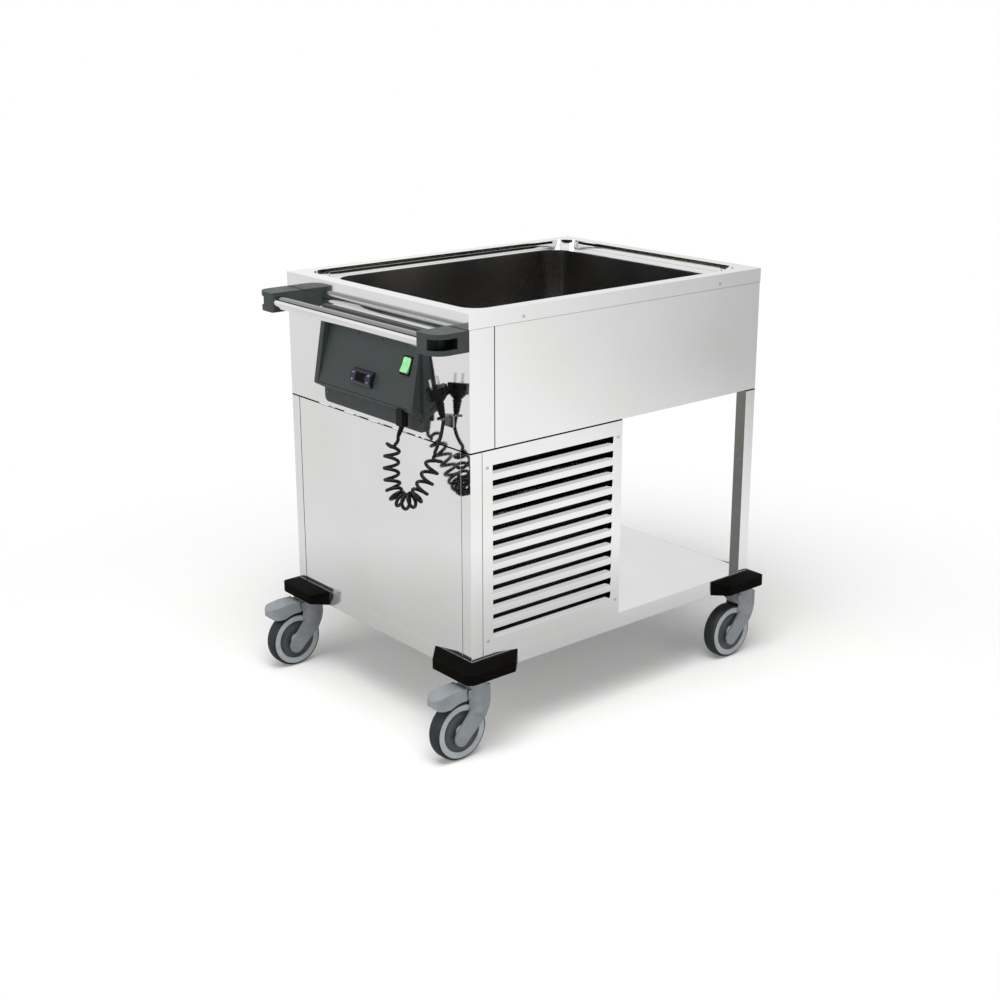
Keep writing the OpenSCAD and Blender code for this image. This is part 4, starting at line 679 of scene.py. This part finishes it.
side_part = add(tree, "ShaderNodeMath", {"operation": "MULTIPLY"},
                {0: turned.outputs[0], 1: ahead.outputs[0]})
dimmed = add(tree, "ShaderNodeMath", {"operation": "MULTIPLY"},
             {0: far.outputs[0], 1: side_part.outputs[0]})
back = add(tree, "ShaderNodeMapRange", {"interpolation_type": "SMOOTHSTEP"},
           {"Value": heading.outputs["Y"], "From Min": 0, "From Max": 1,
            "To Min": 1.0, "To Max": 0.8})
evened = add(tree, "ShaderNodeMath", {"operation": "SUBTRACT"},
             {0: back.outputs[0], 1: dimmed.outputs[0]})
close = add(tree, "ShaderNodeMapRange", {"interpolation_type": "SMOOTHSTEP"},
            {"Value": reach.outputs["Value"], "From Min": 0.5, "From Max": 1.4,
             "To Min": 0.35, "To Max": 1})
behind = add(tree, "ShaderNodeMapRange", {"interpolation_type": "SMOOTHSTEP"},
             {"Value": heading.outputs["X"], "From Min": -0.95, "From Max": -0.4,
              "To Min": 0.9, "To Max": 1})
left_part = add(tree, "ShaderNodeMath", {"operation": "MULTIPLY"},
                {0: evened.outputs[0], 1: behind.outputs[0]})
painted_reflection_level = add(tree, "ShaderNodeMath", {"operation": "MULTIPLY"},
              {0: left_part.outputs[0], 1: close.outputs[0]})
# Only glossy rays see this painted reflection level, darker near the cart as painted shadow.
rays = add(tree, "ShaderNodeLightPath")
brightness = add(tree, "ShaderNodeMix", {"data_type": "FLOAT"},
                 {0: rays.outputs["Is Glossy Ray"], 2: 1.0, 3: painted_reflection_level.outputs[0]})
glow = add(tree, "ShaderNodeEmission", None,
           {"Color": (1, 1, 1, 1), "Strength": brightness.outputs[0]})
seen = add(tree, "ShaderNodeMath", {"operation": "MAXIMUM"},
           {0: rays.outputs["Is Camera Ray"], 1: rays.outputs["Is Glossy Ray"]})
nearest = add(tree, "ShaderNodeMix", {"data_type": "FLOAT"},
              {0: rays.outputs["Is Glossy Ray"], 2: 0.1, 3: 0.7})
opening = add(tree, "ShaderNodeMapRange", {"interpolation_type": "SMOOTHSTEP"},
              {"Value": reach.outputs["Value"], "From Min": 0.55, "From Max": 1.7,
               "To Min": nearest.outputs[0], "To Max": 1})
share = add(tree, "ShaderNodeMath", {"operation": "MULTIPLY"},
            {0: seen.outputs[0], 1: opening.outputs[0]})
blend = add(tree, "ShaderNodeMixShader", None,
            {0: share.outputs[0], 1: matt.outputs[0], 2: glow.outputs[0]})
add(tree, "ShaderNodeOutputMaterial", None, {"Surface": blend.outputs[0]})
floor_mesh.materials.append(floor_paint)

world = bpy.data.worlds.new("studio")
scene.world = world
world.use_nodes = True
tree = world.node_tree
tree.nodes.clear()
rays = add(tree, "ShaderNodeLightPath")
seen = add(tree, "ShaderNodeMath", {"operation": "MAXIMUM"},
           {0: rays.outputs["Is Camera Ray"], 1: rays.outputs["Is Transmission Ray"]})
direction = add(tree, "ShaderNodeSeparateXYZ", None,
                {"Vector": add(tree, "ShaderNodeTexCoord").outputs["Generated"]})
height = add(tree, "ShaderNodeMapRange", {"interpolation_type": "SMOOTHSTEP"},
             {"Value": direction.outputs["Z"], "From Min": 0, "From Max": 0.9,
              "To Min": 1.0, "To Max": 0.7})
turned = add(tree, "ShaderNodeMapRange", {"interpolation_type": "SMOOTHSTEP"},
             {"Value": direction.outputs["X"], "From Min": 0.48, "From Max": 0.9,
              "To Min": 0, "To Max": 0.4})
ahead = add(tree, "ShaderNodeMapRange", {"interpolation_type": "SMOOTHSTEP"},
            {"Value": direction.outputs["Y"], "From Min": -0.4, "From Max": 0,
             "To Min": 1, "To Max": 0.5})
side_part = add(tree, "ShaderNodeMath", {"operation": "MULTIPLY"},
                {0: turned.outputs[0], 1: ahead.outputs[0]})
lit = add(tree, "ShaderNodeMath", {"operation": "SUBTRACT"}, {0: 1, 1: side_part.outputs[0]})
mirrored = add(tree, "ShaderNodeMath", {"operation": "MULTIPLY"},
               {0: height.outputs[0], 1: lit.outputs[0]})
# Glossy rays see the surround as a painted reflection, darker upwards and to one side.
glossy = add(tree, "ShaderNodeMix", {"data_type": "FLOAT"},
             {0: rays.outputs["Is Glossy Ray"], 2: 0.47, 3: mirrored.outputs[0]})
strength = add(tree, "ShaderNodeMix", {"data_type": "FLOAT"},
               {0: seen.outputs[0], 2: glossy.outputs[0], 3: 1.0})
surround = add(tree, "ShaderNodeBackground", None,
               {"Color": (1, 1, 1, 1), "Strength": strength.outputs[0]})
add(tree, "ShaderNodeOutputWorld", None, {"Surface": surround.outputs[0]})

AIM = Vector((0, 0, 0.5))
for name, stand, size, power in (
        ("softbox_above", (-0.9, -0.8, 3.2), 2.0, 84),
        ("softbox_left", (-3.2, 0.2, 1.8), 1.8, 18),
        ("softbox_right", (0.8, -3.4, 1.8), 1.8, 10)):
    lamp_data = bpy.data.lights.new(name, "AREA")
    lamp_data.shape = "SQUARE"
    lamp_data.size = size
    lamp_data.energy = power
    lamp = bpy.data.objects.new(name, lamp_data)
    lamp.location = stand
    lamp.rotation_euler = (AIM - Vector(stand)).to_track_quat("-Z", "Y").to_euler()
    scene.collection.objects.link(lamp)
